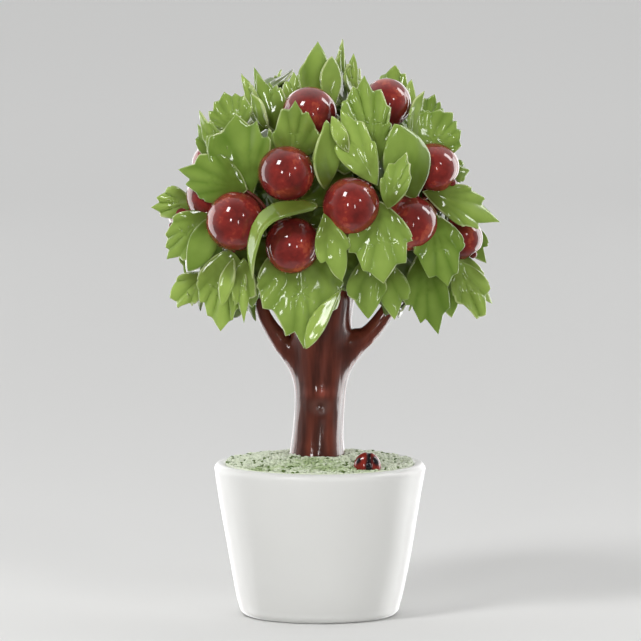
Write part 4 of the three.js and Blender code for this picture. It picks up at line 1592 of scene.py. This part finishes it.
# Lamps and panels: degrees right of the front and above the level, width and height
# in metres, and brightness of their face. They stand at one distance from a point in
# the tree, both in metres. The fill isn't mirrored in the glazes, and the panels are
# only mirrored in them.
LAMP_TARGET = np.array((0, 0, 0.2))
LAMP_DISTANCE = 2.0
FILL = "fill"
LAMPS = {
    "key": (-38, 47, 0.42, 0.62, 20.0),
    "low_key": (-15, 9, 0.2, 0.3, 19.0),
    "side_key": (36, 24, 0.15, 0.26, 16.0),
    FILL: (22, 26, 1.8, 1.6, 1.26),
}
PANELS = {
    "low_strip": (14, 2, 0.07, 0.4, 18.0),
    "left_panel": (-113, -6, 1.1, 2.5, 2.9),
    "right_panel": (115, -6, 1.0, 2.5, 4.4),
    "left_back_panel": (-148, -6, 1.6, 2.5, 1.9),
    "right_back_panel": (148, -6, 1.6, 2.5, 1.9),
    "high_panel": (99, 39, 0.5, 0.95, 9.0),
}


def add_lamps(studio):
    """Softboxes on a sphere round the tree, each facing it."""
    for name, (right, up, width, height, brightness) in (LAMPS | PANELS).items():
        data = bpy.data.lights.new(name, "AREA")
        data.shape = "RECTANGLE"
        data.size, data.size_y = width, height
        data.energy = brightness * math.pi * width * height * studio.light_level
        lamp = add_object(name, data)
        lamp.location = LAMP_TARGET + heading(right, up) * LAMP_DISTANCE
        lamp.rotation_euler = (math.pi / 2 - math.radians(up), 0, math.radians(right))
        lamp.visible_camera = False
        lamp.visible_glossy = name != FILL
        lamp.visible_diffuse = name not in PANELS


class CLAYTREE_OT_pot(bpy.types.Operator):
    """Makes the white pot"""

    bl_idname = "clay_tree.pot"
    bl_label = "Pot"

    def execute(self, context):
        _, colours, _ = settings()
        add_skins("glazed_pot", [pot_skin()], pot_glaze(colours), ["pot"])
        return {"FINISHED"}


class CLAYTREE_OT_ground(bpy.types.Operator):
    """Makes the crumbly ground and the crumbs on it"""

    bl_idname = "clay_tree.ground"
    bl_label = "Ground"

    def execute(self, context):
        sizes, colours, _ = settings()
        glaze = ground_glaze(colours)
        rng = np.random.default_rng(GROUND_SEED + sizes.seed)
        add_skins("filling", [ground_skin()], glaze, ["ground"])
        add_skins("crumbs", crumb_skins(sizes, rng), glaze)
        return {"FINISHED"}


class CLAYTREE_OT_ladybird(bpy.types.Operator):
    """Makes the ladybird"""

    bl_idname = "clay_tree.ladybird"
    bl_label = "Ladybird"

    def execute(self, context):
        _, colours, _ = settings()
        add_skins("glazed_ladybird", ladybird_skins(), ladybird_glaze(colours), ["ladybird"])
        return {"FINISHED"}


class CLAYTREE_OT_limbs(bpy.types.Operator):
    """Makes the trunk and its boughs as one piece of clay"""

    bl_idname = "clay_tree.limbs"
    bl_label = "Trunk and boughs"

    def execute(self, context):
        _, colours, _ = settings()
        add_piece("trunk_and_boughs", limb_mesh(), bark_glaze(colours), list(LIMBS))
        return {"FINISHED"}


class CLAYTREE_OT_crown(bpy.types.Operator):
    """Makes the crown: its leaves, apples and twigs"""

    bl_idname = "clay_tree.crown"
    bl_label = "Leaves, fruit and twigs"

    def execute(self, context):
        sizes, colours, _ = settings()
        apples, leaves, inner = plan_crown(sizes)
        rng = np.random.default_rng(sizes.seed + 1)
        glaze = leaf_glaze(colours)
        skins = {name: [] for name in MASSES}
        for leaf in leaves:
            skins[mass_of(leaf)].append(leaf_skin(leaf, sizes, rng))
        # Leaves under the front ones and deep in the crown get the dark olive all over, a painted shade.
        for leaf in inner:
            skins[mass_of(leaf)].append(leaf_skin(leaf, sizes, rng, INNER_RINGS, 6, 1.0))
        for name, made in skins.items():
            add_skins(name.replace("mass", "leaves"), made, glaze, [name])
        fruit = []
        for number, apple in enumerate(apples):
            calyx = unit(0.5 * unit(apple[:3] - CROWN_CENTRE) + (0, 0, -0.9) + 0.3 * rng.normal(size=3))
            if number < len(FRONT_APPLES):
                calyx = heading(*FRONT_APPLES[number][4:])
            fruit += apple_skins(apple[:3], apple[3], calyx, rng)
        add_skins("apples", fruit, apple_glaze(colours))
        add_skins("twigs", branch_skins(apples, leaves, sizes, rng), bark_glaze(colours))
        return {"FINISHED"}


class CLAYTREE_PT_panel(bpy.types.Panel):
    """Lists the steps that make the tree, with its sizes and colours"""

    bl_label = "Clay tree"
    bl_idname = "CLAYTREE_PT_panel"
    bl_space_type = "VIEW_3D"
    bl_region_type = "UI"
    bl_category = "Clay tree"

    def draw(self, context):
        for operator in STEPS:
            self.layout.operator(operator.bl_idname)
        for group in settings():
            box = self.layout.box()
            for name in group.__annotations__:
                box.prop(group, name)


STEPS = (
    CLAYTREE_OT_stage,
    CLAYTREE_OT_pot,
    CLAYTREE_OT_ground,
    CLAYTREE_OT_ladybird,
    CLAYTREE_OT_limbs,
    CLAYTREE_OT_crown,
)
GROUPS = {"clay_tree_sizes": ClaySizes, "clay_tree_colours": GlazeColours, "clay_tree_studio": StudioSetup}
CLASSES = (*GROUPS.values(), *STEPS, CLAYTREE_PT_panel)


def register():
    for item in CLASSES:
        bpy.utils.register_class(item)
    for name, group in GROUPS.items():
        setattr(bpy.types.Scene, name, bpy.props.PointerProperty(type=group))


def unregister():
    for name in GROUPS:
        delattr(bpy.types.Scene, name)
    for item in reversed(CLASSES):
        bpy.utils.unregister_class(item)


def main():
    """Makes the whole tree."""
    register()
    for operator in STEPS:
        group, name = operator.bl_idname.split(".")
        getattr(getattr(bpy.ops, group), name)()


if __name__ == "__main__":
    main()
